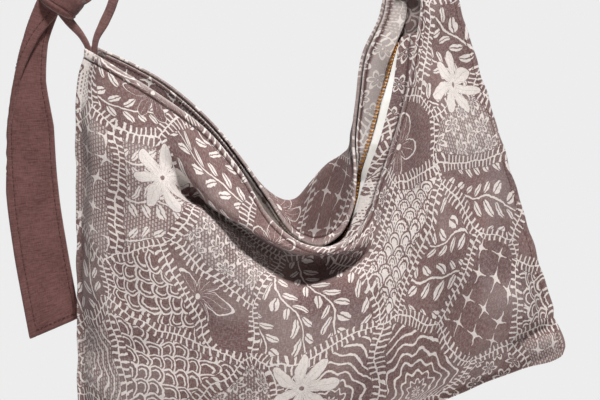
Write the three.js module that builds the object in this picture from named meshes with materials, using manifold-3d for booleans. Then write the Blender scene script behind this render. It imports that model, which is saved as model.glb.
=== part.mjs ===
// Canvas hobo bag: two soft panels sewn along the sides and foot, a recessed metal zip in the
// mouth, a narrow loop at the left corner, and a shoulder strap knotted through that loop.
// Millimetres, +Z up, front towards -Y. The origin is under the top of the strap, where it hangs.
import * as THREE from "three";
import { mergeVertices } from "three/addons/utils/BufferGeometryUtils.js";
import Module from "manifold-3d";

const wasm = await Module();
wasm.setup();

// Driving dimensions
const CANVAS = 1.6;
const HEM_THICKNESS = 2.6;
const HEM_DEPTH = 7;
const VALLEY_DROP = 5.5;
const GAP = 0.3;
const SEAM_FLANGE = 5;
const SEAM_REST = GAP / 2 + CANVAS;
const FLANGE_REST = SEAM_REST + 0.5;
const FACING = { width: 17, thickness: 1, start: 2 };
const TAPE = { width: 8, thickness: 0.8, lap: 2.5 };
const TEETH = { width: 3.4, thickness: 2.2 };
const ZIP_START = 2.8;
const ZIP_END = 15.6;
const ZIP_GATHER = 1.3;
const ZIP_CLOSE = 14;
const ZIP_MEET = 16.3;
const ZIP_REST = 3;
const ZIP_STEPS = 48;
const LAYER_GAP = 1.3;
const HEM_CLEAR = 1.45;
const TEETH_GAP = 1.3;
const SLIDER = { length: 9, width: 12, height: 6, pull: 22, pullWidth: 3, pullThickness: 1.4 };
const STRAP = { width: 44, root: 40, thickness: 2.4 };
const LOOP = { width: 7.6, thickness: 3, root: 5, rootThickness: 1.4 };
const KNOT = { wide: 15, deep: 12, band: 22, layer: 5, lobe: 14 };
const KNOT_CENTRE = { x: -175.6, y: -1, z: -278.7 };
const KNOT_AXIS = { x: 0.57, z: 0.82 };

// Materials
const PRINT = new THREE.MeshStandardMaterial({ color: 0x9b8684, roughness: 0.92, metalness: 0 });
const PLAIN = new THREE.MeshStandardMaterial({ color: 0x6c4946, roughness: 0.9, metalness: 0 });
const TAPE_CREAM = new THREE.MeshStandardMaterial({ color: 0xe9e2d8, roughness: 0.85, metalness: 0 });
const BRASS = new THREE.MeshStandardMaterial({ color: 0xb9782c, roughness: 0.35, metalness: 1 });

const mix = THREE.MathUtils.lerp;
const vec = (x, y, z) => new THREE.Vector3(x, y, z);

// Turns rows of numbers into records with named columns.
function table(columns, rows) {
  return rows.map((row) => Object.fromEntries(columns.map((name, i) => [name, row[i]])));
}

// The value of a column at a place between two rows of a table.
function between(rows, column, place) {
  const first = Math.min(Math.floor(place), rows.length - 2);
  return mix(rows[first][column], rows[first + 1][column], place - first);
}

// Foot seam, a row for each section from the left side seam to the right one.
// bow is how far the section leans sideways below the mouth.
const FOOT = table(["x", "z", "bow"], [
  [-163, -657, -8.5],
  [-158, -658, -7.5],
  [-148, -661, -6],
  [-130, -664, -3],
  [-102, -667, -1],
  [-60, -667, 0],
  [-26, -666, 0],
  [7, -662, 0],
  [36, -657, 0],
  [60, -652, 0],
  [82, -646, 0],
  [102, -640, 0],
  [126, -631, 0],
  [148, -621, 0],
  [172, -610, 0],
  [196, -600, 0],
  [219, -593, 0],
  [238, -587, 0],
  [247, -583, 0],
  [252, -579, 0],
]);

// Front panel. x, y, z place the lip. Where fold is above 0 the mouth slouches: the cloth hangs
// flap millimetres to a nose at depth nose, tucks in to valley, and comes out gap lower.
const FRONT = table(["x", "y", "z", "fold", "flap", "gap", "nose", "valley", "belly"], [
  [-157, -4.4, -322, 0, 0, 0, 0, 0, 0],
  [-152, -4.4, -325, 0, 0, 0, 0, 0, 4],
  [-143, -7, -330, 0, 0, 0, 0, 0, 24],
  [-123, -9, -342, 0, 0, 0, 0, 0, 38],
  [-93, -13, -361, 0.15, 48, 10, 34, 26, 48],
  [-55, -22, -389, 0.85, 60, 14, 52, 22, 55],
  [-25, -31, -424, 1, 44, 27, 57, 16, 57],
  [0, -40, -464, 1, 20, 40, 55, 14, 58],
  [26, -46, -485, 1, 8, 42, 53, 15, 58],
  [47, -47, -489, 1, 6, 30, 52, 20, 57],
  [69, -34, -481, 0.8, 8, 24, 50, 28, 56],
  [84, -24, -461, 0.3, 16, 10, 46, 38, 55],
  [94, -18, -430, 0, 0, 0, 0, 0, 53],
  [104, -17, -400, 0, 0, 0, 0, 0, 50],
  [114, -16, -365, 0, 0, 0, 0, 0, 45],
  [121, -16, -329, 0, 0, 0, 0, 0, 37],
  [127, -12, -293, 0, 0, 0, 0, 0, 27],
  [131, -8, -257, 0, 0, 0, 0, 0, 15],
  [146, -4.1, -254, 0, 0, 0, 0, 0, 4],
  [151, -4.1, -253, 0, 0, 0, 0, 0, 0],
]);

// Back panel. x, y, z place the lip. The cloth rises roll millimetres above the lip to a rolled
// crest at depth crest, then goes down the back.
const BACK = table(["x", "y", "z", "roll", "crest", "belly"], [
  [-156, 4.4, -319, -30, 2, 0],
  [-151, 4.4, -320, -30, 4, 4],
  [-142, 7, -323, -26, 12, 20],
  [-119, 7, -333, -22, 16, 32],
  [-87, 5, -351, -16, 16, 40],
  [-49, -2, -384, -8, 10, 45],
  [-23, -9, -416, -3, 5, 47],
  [0, -15, -449, 4, 6, 48],
  [22, -20, -480, 30, 10, 48],
  [41, -20, -488, 53, 20, 48],
  [58, -15, -480, 62, 26, 48],
  [69, -12, -460, 50, 28, 48],
  [72, -4, -431, 25, 29, 48],
  [70, 6, -400, 6, 26, 47],
  [73, 9, -364, -6, 24, 43],
  [78, 11, -327, -12, 21, 35],
  [92, 10, -296, -16, 17, 26],
  [104, 8, -257, -18, 10, 15],
  [146, 4.1, -254, -24, 4, 4],
  [151, 4.1, -253, -24, 2, 0],
]);

// How the strips inside the mouth drop. front is the angle in degrees below the way across the
// mouth, aimed the behind millimetres past the back lip. back is the angle away from the wall.
const DROP = table(["front", "behind", "back"], [
  [75, 0, 32],
  [75, 0, 32],
  [75, 0, 32],
  [75, 0, 32],
  [75, 0, 34],
  [72, 0, 38],
  [62, 0, 50],
  [36, 0, 62],
  [2, 0, 46],
  [-8, 0, 30],
  [2, 3, 26],
  [2, 5, 8],
  [2, 6, 16],
  [4, -10, 70],
  [2, -10, 66],
  [4, 0, 56],
  [8, 10, 40],
  [6, 0, 20],
  [6, 0, 30],
  [6, 0, 30],
]);

// Steps of the mesh between one named row of a rib and the next.
const FRONT_STEPS = [1, 2, 2, 2, 3, 3, 3, 3, 2];
const BACK_STEPS = [1, 2, 2, 2, 4, 3, 2];
const SECTION_STEPS = 2;
const FLANGE_ROW = FRONT_STEPS[0];

// A point below the lip of a section, at a share of the way to its foot.
function below(lip, foot, share, y) {
  const sway = foot.bow * Math.min(1, share / 0.12) * (1 - share);
  return vec(mix(lip.x, foot.x, share) + sway, y, mix(lip.z, foot.z, share));
}

// Rows shared by both panels below the mouth, from the foot seam up to the belly.
function lowerRows(lip, foot, start, belly, side) {
  const height = Math.hypot(lip.x - foot.x, lip.z - foot.z);
  const out = (depth, least) => side * Math.max(depth, least);
  const at = (share, y) => below(lip, foot, mix(start, 1, share), y);
  return [
    vec(foot.x, side * SEAM_REST, foot.z),
    below(lip, foot, 1 - SEAM_FLANGE / height, side * FLANGE_REST),
    at(0.84, out(belly * 0.78, SEAM_REST)),
    at(0.56, out(belly, SEAM_REST)),
    at(0.28, out(belly, SEAM_REST)),
  ];
}

// A point part of the way from one point to another, at a set distance.
function towards(from, to, distance) {
  return from.clone().addScaledVector(to.clone().sub(from).normalize(), distance);
}

// Front rib: foot, flange, low, middle, high, crest, valley, nose, hem, lip.
function frontRib(row, foot) {
  const lip = vec(row.x, row.y, row.z);
  const height = Math.hypot(row.x - foot.x, row.z - foot.z);
  const belly = Math.max(row.belly, SEAM_REST);
  const ease = belly > 10 ? 0.45 : 0.12;
  const smooth = (share) => mix(row.y, -belly, Math.sin(Math.min(1, share / ease) * Math.PI / 2));
  const place = (plainShare, folded, foldedY) => {
    const share = mix(plainShare, folded / height, row.fold);
    return below(row, foot, share, mix(smooth(plainShare), foldedY, row.fold));
  };
  const crest = place(0.26, row.flap + row.gap, -belly * 0.92);
  const valley = place(0.17, row.flap + VALLEY_DROP, -row.valley);
  const nose = place(0.1, row.flap, -row.nose);
  const hem = towards(lip, nose, Math.min(HEM_DEPTH, lip.distanceTo(nose) * 0.5));
  const start = mix(0.26, (row.flap + row.gap) / height, row.fold);
  return [...lowerRows(row, foot, start, row.belly, -1), crest, valley, nose, hem, lip];
}

// Back rib: foot, flange, low, middle, high, crest, hem, lip.
function backRib(row, foot) {
  const lip = vec(row.x, row.y, row.z);
  const height = Math.hypot(row.x - foot.x, row.z - foot.z);
  const start = -row.roll / height;
  const crest = below(row, foot, start, Math.max(row.crest, SEAM_REST));
  const hem = towards(lip, crest, Math.min(HEM_DEPTH, lip.distanceTo(crest) * 0.5));
  return [...lowerRows(row, foot, Math.max(start, 0.08), row.belly, 1), crest, hem, lip];
}

// A panel of cloth lofted through its ribs. side is -1 for the front and 1 for the back.
class Panel {
  constructor(ribs, side) {
    this.side = side;
    this.last = ribs.length - 1;
    const rows = ribs[0].map((_, row) => ribs.map((rib) => rib[row]));
    this.rails = rows.map((points) => new THREE.CatmullRomCurve3(points, false, "centripetal"));
    this.ribs = new Map();
  }

  rib(section) {
    if (!this.ribs.has(section)) {
      const points = this.rails.map((rail) => rail.getPoint(section / this.last));
      this.ribs.set(section, new THREE.CatmullRomCurve3(points, false, "centripetal"));
    }
    return this.ribs.get(section);
  }

  lip(section) {
    return this.rib(section).getPoint(1);
  }

  // The lip, the way along it, the way down the wall from it, and the way out of the wall.
  lipFrame(section) {
    const step = 0.05;
    const lip = this.lip(section);
    const along = this.lip(section + step).sub(this.lip(section - step)).normalize();
    const fall = this.rib(section).getPoint(1 - 1 / (this.rails.length - 1)).sub(lip);
    const down = fall.addScaledVector(along, -fall.dot(along)).normalize();
    const out = along.clone().cross(down).multiplyScalar(this.side).normalize();
    return { lip, along, down, out };
  }

  // The outer face as a grid of points, a line of them for each mesh section.
  grid(steps) {
    const shares = [0];
    steps.forEach((count, row) => {
      for (let i = 1; i <= count; i += 1) shares.push((row + i / count) / steps.length);
    });
    const lines = [];
    for (let i = 0; i <= this.last * SECTION_STEPS; i += 1) {
      const rib = this.rib(i / SECTION_STEPS);
      lines.push(shares.map((share) => rib.getPoint(share)));
    }
    return lines;
  }
}

// A closed solid from rows of triangles.
function solid(points, faces) {
  const geometry = new THREE.BufferGeometry();
  const flat = points.flatMap((point) => [point.x, point.y, point.z]);
  geometry.setAttribute("position", new THREE.Float32BufferAttribute(flat, 3));
  geometry.setIndex(faces.flat());
  geometry.computeVertexNormals();
  return geometry;
}

// The unit normal at one point of a grid.
function gridNormal(lines, i, j) {
  const a = lines[Math.min(i + 1, lines.length - 1)][j];
  const b = lines[Math.max(i - 1, 0)][j];
  const c = lines[i][Math.min(j + 1, lines[i].length - 1)];
  const d = lines[i][Math.max(j - 1, 0)];
  return a.clone().sub(b).cross(c.clone().sub(d)).normalize();
}

// A wall of cloth between an outer and an inner grid of points. side turns its face.
function wall(outer, inner, side) {
  const across = outer.length;
  const high = outer[0].length;
  const skin = across * high;
  const at = (i, j, layer) => layer * skin + i * high + j;
  const faces = [];
  const quad = (a, b, c, d) => {
    const turn = side < 0;
    faces.push(turn ? [a, b, c] : [a, c, b], turn ? [a, c, d] : [a, d, c]);
  };
  for (let i = 0; i < across - 1; i += 1) {
    for (let j = 0; j < high - 1; j += 1) {
      quad(at(i, j, 0), at(i + 1, j, 0), at(i + 1, j + 1, 0), at(i, j + 1, 0));
      quad(at(i, j, 1), at(i, j + 1, 1), at(i + 1, j + 1, 1), at(i + 1, j, 1));
    }
    quad(at(i, 0, 1), at(i + 1, 0, 1), at(i + 1, 0, 0), at(i, 0, 0));
    quad(at(i, high - 1, 0), at(i + 1, high - 1, 0), at(i + 1, high - 1, 1), at(i, high - 1, 1));
  }
  for (let j = 0; j < high - 1; j += 1) {
    quad(at(0, j, 0), at(0, j + 1, 0), at(0, j + 1, 1), at(0, j, 1));
    const end = across - 1;
    quad(at(end, j, 1), at(end, j + 1, 1), at(end, j + 1, 0), at(end, j, 0));
  }
  return solid([...outer.flat(), ...inner.flat()], faces);
}

// Section of a flat band with softened edges, in shares of its half width and half thickness.
const BAND_SECTION = [[1, 0], [0.94, 1], [0, 1], [-0.94, 1], [-1, 0], [-0.94, -1], [0, -1], [0.94, -1]];

// A band swept along a path. Each row of the route has x, y, z, width, thickness and turn, the
// angle in degrees that the band is turned about its path away from facing the front.
// extra makes it larger all round.
function band(route, steps, extra = 0) {
  const stops = route.map((row) => vec(row.x, row.y, row.z));
  const path = new THREE.CatmullRomCurve3(stops, false, "centripetal");
  const value = (name, share) => between(route, name, share * (route.length - 1));
  const count = BAND_SECTION.length;
  const points = [];
  for (let i = 0; i <= steps; i += 1) {
    const share = i / steps;
    const tangent = path.getTangent(share);
    const beyond = extra * ((i === steps) - (i === 0));
    const centre = path.getPoint(share).addScaledVector(tangent, beyond);
    const angle = THREE.MathUtils.degToRad(value("turn", share));
    const flat = tangent.clone().cross(vec(0, 1, 0)).normalize();
    const deep = flat.clone().cross(tangent).normalize();
    const across = flat.clone().multiplyScalar(Math.cos(angle)).addScaledVector(deep, Math.sin(angle));
    const normal = tangent.clone().cross(across).normalize();
    const halfWidth = value("width", share) / 2 + extra;
    const halfThickness = value("thickness", share) / 2 + extra;
    for (const [w, t] of BAND_SECTION) {
      const point = centre.clone().addScaledVector(across, w * halfWidth);
      points.push(point.addScaledVector(normal, t * halfThickness));
    }
  }
  const faces = [];
  for (let i = 0; i < steps; i += 1) {
    const ring = i * count;
    const next = ring + count;
    for (let k = 0; k < count; k += 1) {
      const l = (k + 1) % count;
      faces.push([ring + k, ring + l, next + l], [ring + k, next + l, next + k]);
    }
  }
  const end = steps * count;
  for (let k = 1; k < count - 1; k += 1) {
    faces.push([0, k + 1, k], [end, end + k, end + k + 1]);
  }
  return solid(points, faces);
}

// Joins and cuts go through solids of their own.
function toManifold(geometry) {
  const bare = new THREE.BufferGeometry();
  bare.setAttribute("position", geometry.getAttribute("position"));
  bare.setIndex(geometry.getIndex());
  const merged = mergeVertices(bare);
  const vertProperties = new Float32Array(merged.getAttribute("position").array);
  const triVerts = new Uint32Array(merged.getIndex().array);
  return new wasm.Manifold(new wasm.Mesh({ numProp: 3, vertProperties, triVerts }));
}

function fromManifold(shape) {
  const mesh = shape.getMesh();
  const geometry = new THREE.BufferGeometry();
  geometry.setAttribute("position", new THREE.BufferAttribute(new Float32Array(mesh.vertProperties), 3));
  geometry.setIndex(new THREE.BufferAttribute(new Uint32Array(mesh.triVerts), 1));
  geometry.computeVertexNormals();
  return geometry;
}

const bag = new THREE.Group();

function addPiece(name, geometry, material) {
  const mesh = new THREE.Mesh(geometry, material);
  mesh.name = name;
  bag.add(mesh);
}

// Panels
const front = new Panel(FRONT.map((row, i) => frontRib(row, FOOT[i])), -1);
const back = new Panel(BACK.map((row, i) => backRib(row, FOOT[i])), 1);

// The wall of a panel. Its inner face stays clear of the other panel along the seams.
function panelWall(panel, steps) {
  const lines = panel.grid(steps);
  const hemRow = lines[0].length - 1 - steps.at(-1);
  const seamLines = 2 * SECTION_STEPS;
  const inner = lines.map((line, i) => line.map((point, j) => {
    const thickness = j >= hemRow ? HEM_THICKNESS : CANVAS;
    const inside = point.clone().addScaledVector(gridNormal(lines, i, j), panel.side * thickness);
    const byASeam = i <= seamLines || i >= lines.length - 1 - seamLines || j <= FLANGE_ROW;
    if (byASeam) inside.y = panel.side * Math.max(panel.side * inside.y, GAP / 2);
    return inside;
  }));
  return wall(lines, inner, panel.side);
}

addPiece("front_panel", panelWall(front, FRONT_STEPS), PRINT);
addPiece("back_panel", panelWall(back, BACK_STEPS), PRINT);

// Facings, tapes and teeth are straight strips from the lip into the bag, one under the other.
const FACING_EDGE = FACING.start + FACING.width;
const TAPE_EDGE = FACING_EDGE + TAPE.width;
const TEETH_EDGE = TAPE_EDGE + TEETH_GAP;
const TAPE_TOP = FACING.thickness + LAYER_GAP;
const TEETH_TOP = TAPE_TOP + (TAPE.thickness - TEETH.thickness) / 2;
const UNDER_HEM = HEM_THICKNESS + HEM_CLEAR;

// The strips' place at one section: where they start, which way they reach, and their under side.
function stripFrame(side, section) {
  const { lip, along, down, out } = side.panel.lipFrame(section);
  const aim = vec(0, between(DROP, "behind", section), 0);
  const across = side.other.lip(section).add(aim).sub(lip).normalize();
  const drop = THREE.MathUtils.degToRad(between(DROP, side.name, section));
  const way = side.leans ? across : down;
  const inwards = side.leans ? vec(0, 0, -1) : out.clone().negate();
  const level = way.clone().multiplyScalar(Math.cos(drop));
  const reach = level.addScaledVector(inwards, Math.sin(drop)).normalize();
  const under = reach.clone().cross(along).multiplyScalar(-side.panel.side).normalize();
  const start = lip.addScaledVector(out, -UNDER_HEM).addScaledVector(down, FACING.start);
  return { start, reach, under };
}

// A point of a strip: distance from the lip, and height towards its under side. At both ends the
// strips gather to the middle of the mouth, where the two halves of the zip meet.
function stripPoint(side, section, distance, height) {
  const { start, reach, under } = stripFrame(side, section);
  const free = (frame) => frame.start.clone().addScaledVector(frame.reach, distance - FACING.start);
  const point = free({ start, reach }).addScaledVector(under, height);
  const facing = free(stripFrame(side.facing, section));
  const middle = free({ start, reach }).add(facing).multiplyScalar(0.5);
  middle.addScaledVector(under, height);
  middle.y += side.panel.side * ZIP_REST;
  const share = THREE.MathUtils.clamp((distance - FACING.start) / FACING.width, 0, 1);
  const left = 1 - (section - ZIP_START) / ZIP_GATHER;
  const right = (section - ZIP_CLOSE) / (ZIP_MEET - ZIP_CLOSE);
  const gather = THREE.MathUtils.clamp(Math.max(left, right), 0, 1);
  return point.lerp(middle, gather * share);
}

const zipSections = Array.from({ length: ZIP_STEPS + 1 }, (_, i) => {
  return mix(ZIP_START, ZIP_END, i / ZIP_STEPS);
});

// A strip between two distances from the lip and two heights.
function strip(side, sections, distances, top, thickness) {
  const row = (section, height) => distances.map((distance) => stripPoint(side, section, distance, height));
  const face = (height) => sections.map((section) => row(section, height));
  return wall(face(top + thickness), face(top), side.panel.side);
}

// The back facing runs on past both ends of the zip, into the corners of the mouth.
const FRONT_SIDE = { name: "front", panel: front, other: back, leans: true, facingEnds: [[], []] };
const BACK_ENDS = [[2.2, 2.5], [16, 16.4]];
const BACK_SIDE = { name: "back", panel: back, other: front, leans: false, facingEnds: BACK_ENDS };
FRONT_SIDE.facing = BACK_SIDE;
BACK_SIDE.facing = FRONT_SIDE;

for (const side of [FRONT_SIDE, BACK_SIDE]) {
  const [before, after] = side.facingEnds;
  const facingSections = [...before, ...zipSections, ...after];
  const facingRows = [FACING_EDGE, FACING.start];
  const tapeRows = [TAPE_EDGE, FACING_EDGE - TAPE.lap];
  const teethRows = [TEETH_EDGE + TEETH.width, TEETH_EDGE];
  const facing = strip(side, facingSections, facingRows, 0, FACING.thickness);
  const tape = strip(side, zipSections, tapeRows, TAPE_TOP, TAPE.thickness);
  const teeth = strip(side, zipSections, teethRows, TEETH_TOP, TEETH.thickness);
  addPiece(`${side.name}_facing`, facing, PRINT);
  addPiece(`zip_tape_${side.name}`, tape, TAPE_CREAM);
  addPiece(`zip_teeth_${side.name}`, teeth, BRASS);
}

const SLIDER_REST = 1.6;

// Slider, parked at the left end of the open zip, with its pull hanging inside the bag
function slider() {
  const depth = TEETH_EDGE + TEETH.width / 2;
  const rowEnd = (side) => stripPoint(side, ZIP_START, depth, 0);
  const meeting = rowEnd(FRONT_SIDE).add(rowEnd(BACK_SIDE)).multiplyScalar(0.5);
  const centreX = meeting.x - SLIDER.length / 2 - SLIDER_REST;
  const block = (x, y, z) => toManifold(new THREE.BoxGeometry(x, y, z));
  const body = block(SLIDER.length, SLIDER.width, SLIDER.height);
  const pull = block(SLIDER.pullWidth, SLIDER.pullThickness, SLIDER.pull);
  const hung = pull.translate([0, 0, -(SLIDER.pull + SLIDER.height) / 2 + 1]);
  return fromManifold(body.add(hung).translate([centreX, 0, meeting.z]));
}

addPiece("zip_slider", slider(), BRASS);

// Corner loop: both legs of a folded tape come out of the left corner side by side.
const ROUTE = ["x", "y", "z", "width", "thickness", "turn"];
const CORNER_LOOP = table(ROUTE, [
  [-154.5, 0, -334, LOOP.root, LOOP.rootThickness, 0],
  [-154.5, 0, -322, LOOP.root, LOOP.rootThickness, 0],
  [-160, 0, -311, LOOP.root, LOOP.thickness, 0],
  [-171, 0, -298, LOOP.width, LOOP.thickness, 0],
  [-178, 0, -287, LOOP.width, LOOP.thickness, 0],
  [-174, 0, -273, LOOP.width, LOOP.thickness, 0],
  [-163, 0, -261, LOOP.width, LOOP.thickness, 0],
  [-151, 0, -254, LOOP.width, LOOP.thickness, 0],
  [-138, 0, -257, LOOP.width, LOOP.thickness, 0],
  [-131, 0, -269, LOOP.width, LOOP.thickness, 0],
  [-134, 0, -284, LOOP.width, LOOP.thickness, 0],
  [-141, 0, -300, LOOP.width, LOOP.thickness, 0],
  [-147.5, 0, -313, LOOP.root, LOOP.thickness, 0],
  [-149, 0, -322, LOOP.root, LOOP.rootThickness, 0],
  [-149, 0, -334, LOOP.root, LOOP.rootThickness, 0],
]);
const LOOP_STEPS = 36;

addPiece("corner_loop", band(CORNER_LOOP, LOOP_STEPS), PLAIN);

// Shoulder strap: flat between the panels at the right peak, over the top, gathered at the knot
const STRAP_ROUTE = table(ROUTE, [
  [127, 0, -272, STRAP.root, STRAP.thickness, 0],
  [128, 0, -255, STRAP.root, STRAP.thickness, 0],
  [119, 0, -215, STRAP.width, STRAP.thickness, 20],
  [100, 0, -160, STRAP.width, STRAP.thickness, 45],
  [76, 0, -100, STRAP.width, STRAP.thickness, 70],
  [52, 0, -48, STRAP.width, STRAP.thickness, 85],
  [30, 0, -13, STRAP.width, STRAP.thickness, 90],
  [0, 0, STRAP.thickness / 2, STRAP.width, STRAP.thickness, 90],
  [-30, 0, -13, STRAP.width, STRAP.thickness, 90],
  [-56, 0, -48, STRAP.width, STRAP.thickness, 90],
  [-88, 0, -100, STRAP.width, STRAP.thickness, 90],
  [-120, 0, -160, STRAP.width, STRAP.thickness, 90],
  [-146, 0, -210, 36, 4, 90],
  [-163, 0, -245, 26, 8, 90],
]);
const STRAP_STEPS = 52;

addPiece("shoulder_strap", band(STRAP_ROUTE, STRAP_STEPS), PLAIN);

// Strap tail: folded in two where it leaves the knot, opening out flat towards its slanted end
const TAIL_ROUTE = table(ROUTE, [
  [-190.4, -2, -289.8, 20, 7, 0],
  [-198.9, -3, -314.5, 20, 6.4, 0],
  [-204, -2, -348.5, 26, 6, 0],
  [-204, 0, -388.5, 39, 4.4, 0],
  [-202.3, 3, -442, 43, 3, 0],
  [-195.5, 7, -493, STRAP.width, STRAP.thickness, 0],
  [-183.6, 11, -559.3, STRAP.width, STRAP.thickness, 0],
]);
const TAIL_STEPS = 30;

addPiece("strap_tail", band(TAIL_ROUTE, TAIL_STEPS), PLAIN);

// Knot: a core in line with the strap, a turn wrapped round it, and a lobe beside the loop
const KNOT_CORE = table(ROUTE, [
  [-163.3, 0, -245.6, 26, 9, 90],
  [-167, 1, -258, 25, 9, 90],
  [-175, 2, -275, 24, 9, 90],
  [-184, 1, -284, 22, 9, 70],
  [-189, 0, -289, 20, 9, 40],
]);
const KNOT_LOBE = table(ROUTE, [
  [-163, 6, -256, KNOT.lobe, KNOT.layer, 0],
  [-153, 6, -262, KNOT.lobe, KNOT.layer, 0],
  [-156, 4, -275, KNOT.lobe, KNOT.layer, 0],
  [-167, 2, -281, KNOT.lobe, KNOT.layer, 0],
]);
const KNOT_STEPS = 16;

// The wrapped turn: a flattened ring of band whose axis lies along the strap.
function knotTurn() {
  const half = KNOT.band / 2;
  const soft = KNOT.layer / 2;
  const profile = [[-soft, -half + soft], [0, -half], [soft, -half + soft], [soft * 1.3, 0]];
  profile.push([soft, half - soft], [0, half], [-soft, half - soft], [-soft, -half + soft]);
  const outline = profile.map(([r, h]) => new THREE.Vector2(KNOT.wide + r, h));
  const ring = new THREE.LatheGeometry(outline, 24);
  const along = vec(KNOT_AXIS.x, 0, KNOT_AXIS.z).normalize();
  const wide = vec(along.z, 0, -along.x);
  const place = new THREE.Matrix4().makeBasis(wide, along, vec(0, -1, 0));
  place.scale(vec(1, 1, KNOT.deep / KNOT.wide));
  place.setPosition(KNOT_CENTRE.x, KNOT_CENTRE.y, KNOT_CENTRE.z);
  return toManifold(ring.applyMatrix4(place));
}

function knot() {
  const core = toManifold(band(KNOT_CORE, KNOT_STEPS));
  const lobe = toManifold(band(KNOT_LOBE, KNOT_STEPS));
  const loop = toManifold(band(CORNER_LOOP, LOOP_STEPS, GAP));
  const strap = toManifold(band(STRAP_ROUTE, STRAP_STEPS, GAP));
  const tail = toManifold(band(TAIL_ROUTE, TAIL_STEPS, GAP));
  return fromManifold(core.add(knotTurn()).add(lobe).subtract(loop).subtract(strap).subtract(tail));
}

addPiece("strap_knot", knot(), PLAIN);

export default bag;
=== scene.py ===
"""Canvas hobo bag: printed cloth body, brass zip, knotted strap and their finishes."""

import logging
import math
from dataclasses import dataclass, field
from enum import Enum
from typing import Callable, NamedTuple, Sequence

import bmesh
import bpy
import numpy as np
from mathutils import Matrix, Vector


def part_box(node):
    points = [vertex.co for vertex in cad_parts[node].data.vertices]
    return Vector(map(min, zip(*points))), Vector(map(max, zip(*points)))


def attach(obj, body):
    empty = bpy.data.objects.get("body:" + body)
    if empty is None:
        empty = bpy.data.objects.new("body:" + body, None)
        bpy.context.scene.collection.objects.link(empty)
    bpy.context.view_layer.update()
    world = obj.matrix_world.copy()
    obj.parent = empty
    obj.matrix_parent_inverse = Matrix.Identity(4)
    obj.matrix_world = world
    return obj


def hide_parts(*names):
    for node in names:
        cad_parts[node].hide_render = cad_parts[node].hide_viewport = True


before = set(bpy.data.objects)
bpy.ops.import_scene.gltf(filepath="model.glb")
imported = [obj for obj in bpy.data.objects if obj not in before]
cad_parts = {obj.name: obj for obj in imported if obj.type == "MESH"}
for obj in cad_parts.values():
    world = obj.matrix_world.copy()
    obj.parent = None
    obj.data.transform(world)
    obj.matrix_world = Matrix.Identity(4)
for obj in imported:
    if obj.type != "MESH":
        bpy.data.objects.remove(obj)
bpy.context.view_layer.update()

LOG = logging.getLogger("hobo_bag")
MM = 0.001
Array = np.ndarray
STRAP_WIDTH = 44.0
STRAP_CLOTH = 2.4


class FootRow(NamedTuple):
    """One section's place on the foot seam, and how far it leans sideways."""

    x: float
    z: float
    bow: float


class FrontRow(NamedTuple):
    """One section of the front panel: its lip, and its slouched fold."""

    x: float
    y: float
    z: float
    fold: float
    flap: float
    gap: float
    nose: float
    valley: float
    belly: float


class BackRow(NamedTuple):
    """One section of the back panel: its lip, and its rolled crest."""

    x: float
    y: float
    z: float
    roll: float
    crest: float
    belly: float


class DropRow(NamedTuple):
    """How the strips inside the mouth drop at one section."""

    front: float
    behind: float
    back: float


class Stop(NamedTuple):
    """One place on a band's route: its middle, its turn in degrees and its section."""

    x: float
    y: float
    z: float
    turn: float = 0.0
    width: float = STRAP_WIDTH
    thickness: float = STRAP_CLOTH


class Fold(NamedTuple):
    """A soft ridge or dent in the cloth between two places seen from the front."""

    x0: float
    z0: float
    x1: float
    z1: float
    width: float
    height: float


FOOT = [FootRow(*row) for row in (
    (-163, -657, -8.5), (-158, -658, -7.5), (-148, -661, -6), (-130, -664, -3), (-102, -667, -1),
    (-60, -667, 0), (-26, -666, 0), (7, -662, 0), (36, -657, 0), (60, -652, 0),
    (82, -646, 0), (102, -640, 0), (126, -631, 0), (148, -621, 0), (172, -610, 0),
    (196, -600, 0), (219, -593, 0), (238, -587, 0), (247, -583, 0), (252, -579, 0),
)]

FRONT = [FrontRow(*row) for row in (
    (-157, -4.4, -322, 0, 0, 0, 0, 0, 0),
    (-152, -4.4, -325, 0, 0, 0, 0, 0, 4),
    (-143, -7, -330, 0, 0, 0, 0, 0, 24),
    (-123, -9, -342, 0, 0, 0, 0, 0, 38),
    (-93, -13, -361, 0.15, 48, 10, 34, 26, 48),
    (-55, -22, -389, 0.85, 60, 14, 52, 22, 55),
    (-25, -31, -424, 1, 44, 27, 57, 16, 57),
    (0, -40, -464, 1, 20, 40, 55, 14, 58),
    (26, -46, -485, 1, 8, 42, 53, 15, 58),
    (47, -47, -489, 1, 6, 30, 52, 20, 57),
    (69, -34, -481, 0.8, 8, 24, 50, 28, 56),
    (84, -24, -461, 0.3, 16, 10, 46, 38, 55),
    (94, -18, -430, 0, 0, 0, 0, 0, 53),
    (104, -17, -400, 0, 0, 0, 0, 0, 50),
    (114, -16, -365, 0, 0, 0, 0, 0, 45),
    (121, -16, -329, 0, 0, 0, 0, 0, 37),
    (127, -12, -293, 0, 0, 0, 0, 0, 27),
    (131, -8, -257, 0, 0, 0, 0, 0, 15),
    (146, -4.1, -254, 0, 0, 0, 0, 0, 4),
    (151, -4.1, -253, 0, 0, 0, 0, 0, 0),
)]

BACK = [BackRow(*row) for row in (
    (-156, 4.4, -319, -30, 2, 0), (-151, 4.4, -320, -30, 4, 4), (-142, 7, -323, -26, 12, 20),
    (-119, 7, -333, -22, 16, 32), (-87, 5, -351, -16, 16, 40), (-49, -2, -384, -8, 10, 45),
    (-23, -9, -416, -3, 5, 47), (0, -15, -449, 4, 6, 48), (22, -20, -480, 30, 10, 48),
    (41, -20, -488, 53, 20, 48), (58, -15, -480, 62, 26, 48), (69, -12, -460, 50, 28, 48),
    (72, -4, -431, 25, 29, 48), (70, 6, -400, 6, 26, 47), (73, 9, -364, -6, 24, 43),
    (78, 11, -327, -12, 21, 35), (92, 10, -296, -16, 17, 26), (104, 8, -257, -18, 10, 15),
    (146, 4.1, -254, -24, 4, 4), (151, 4.1, -253, -24, 2, 0),
)]

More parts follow.
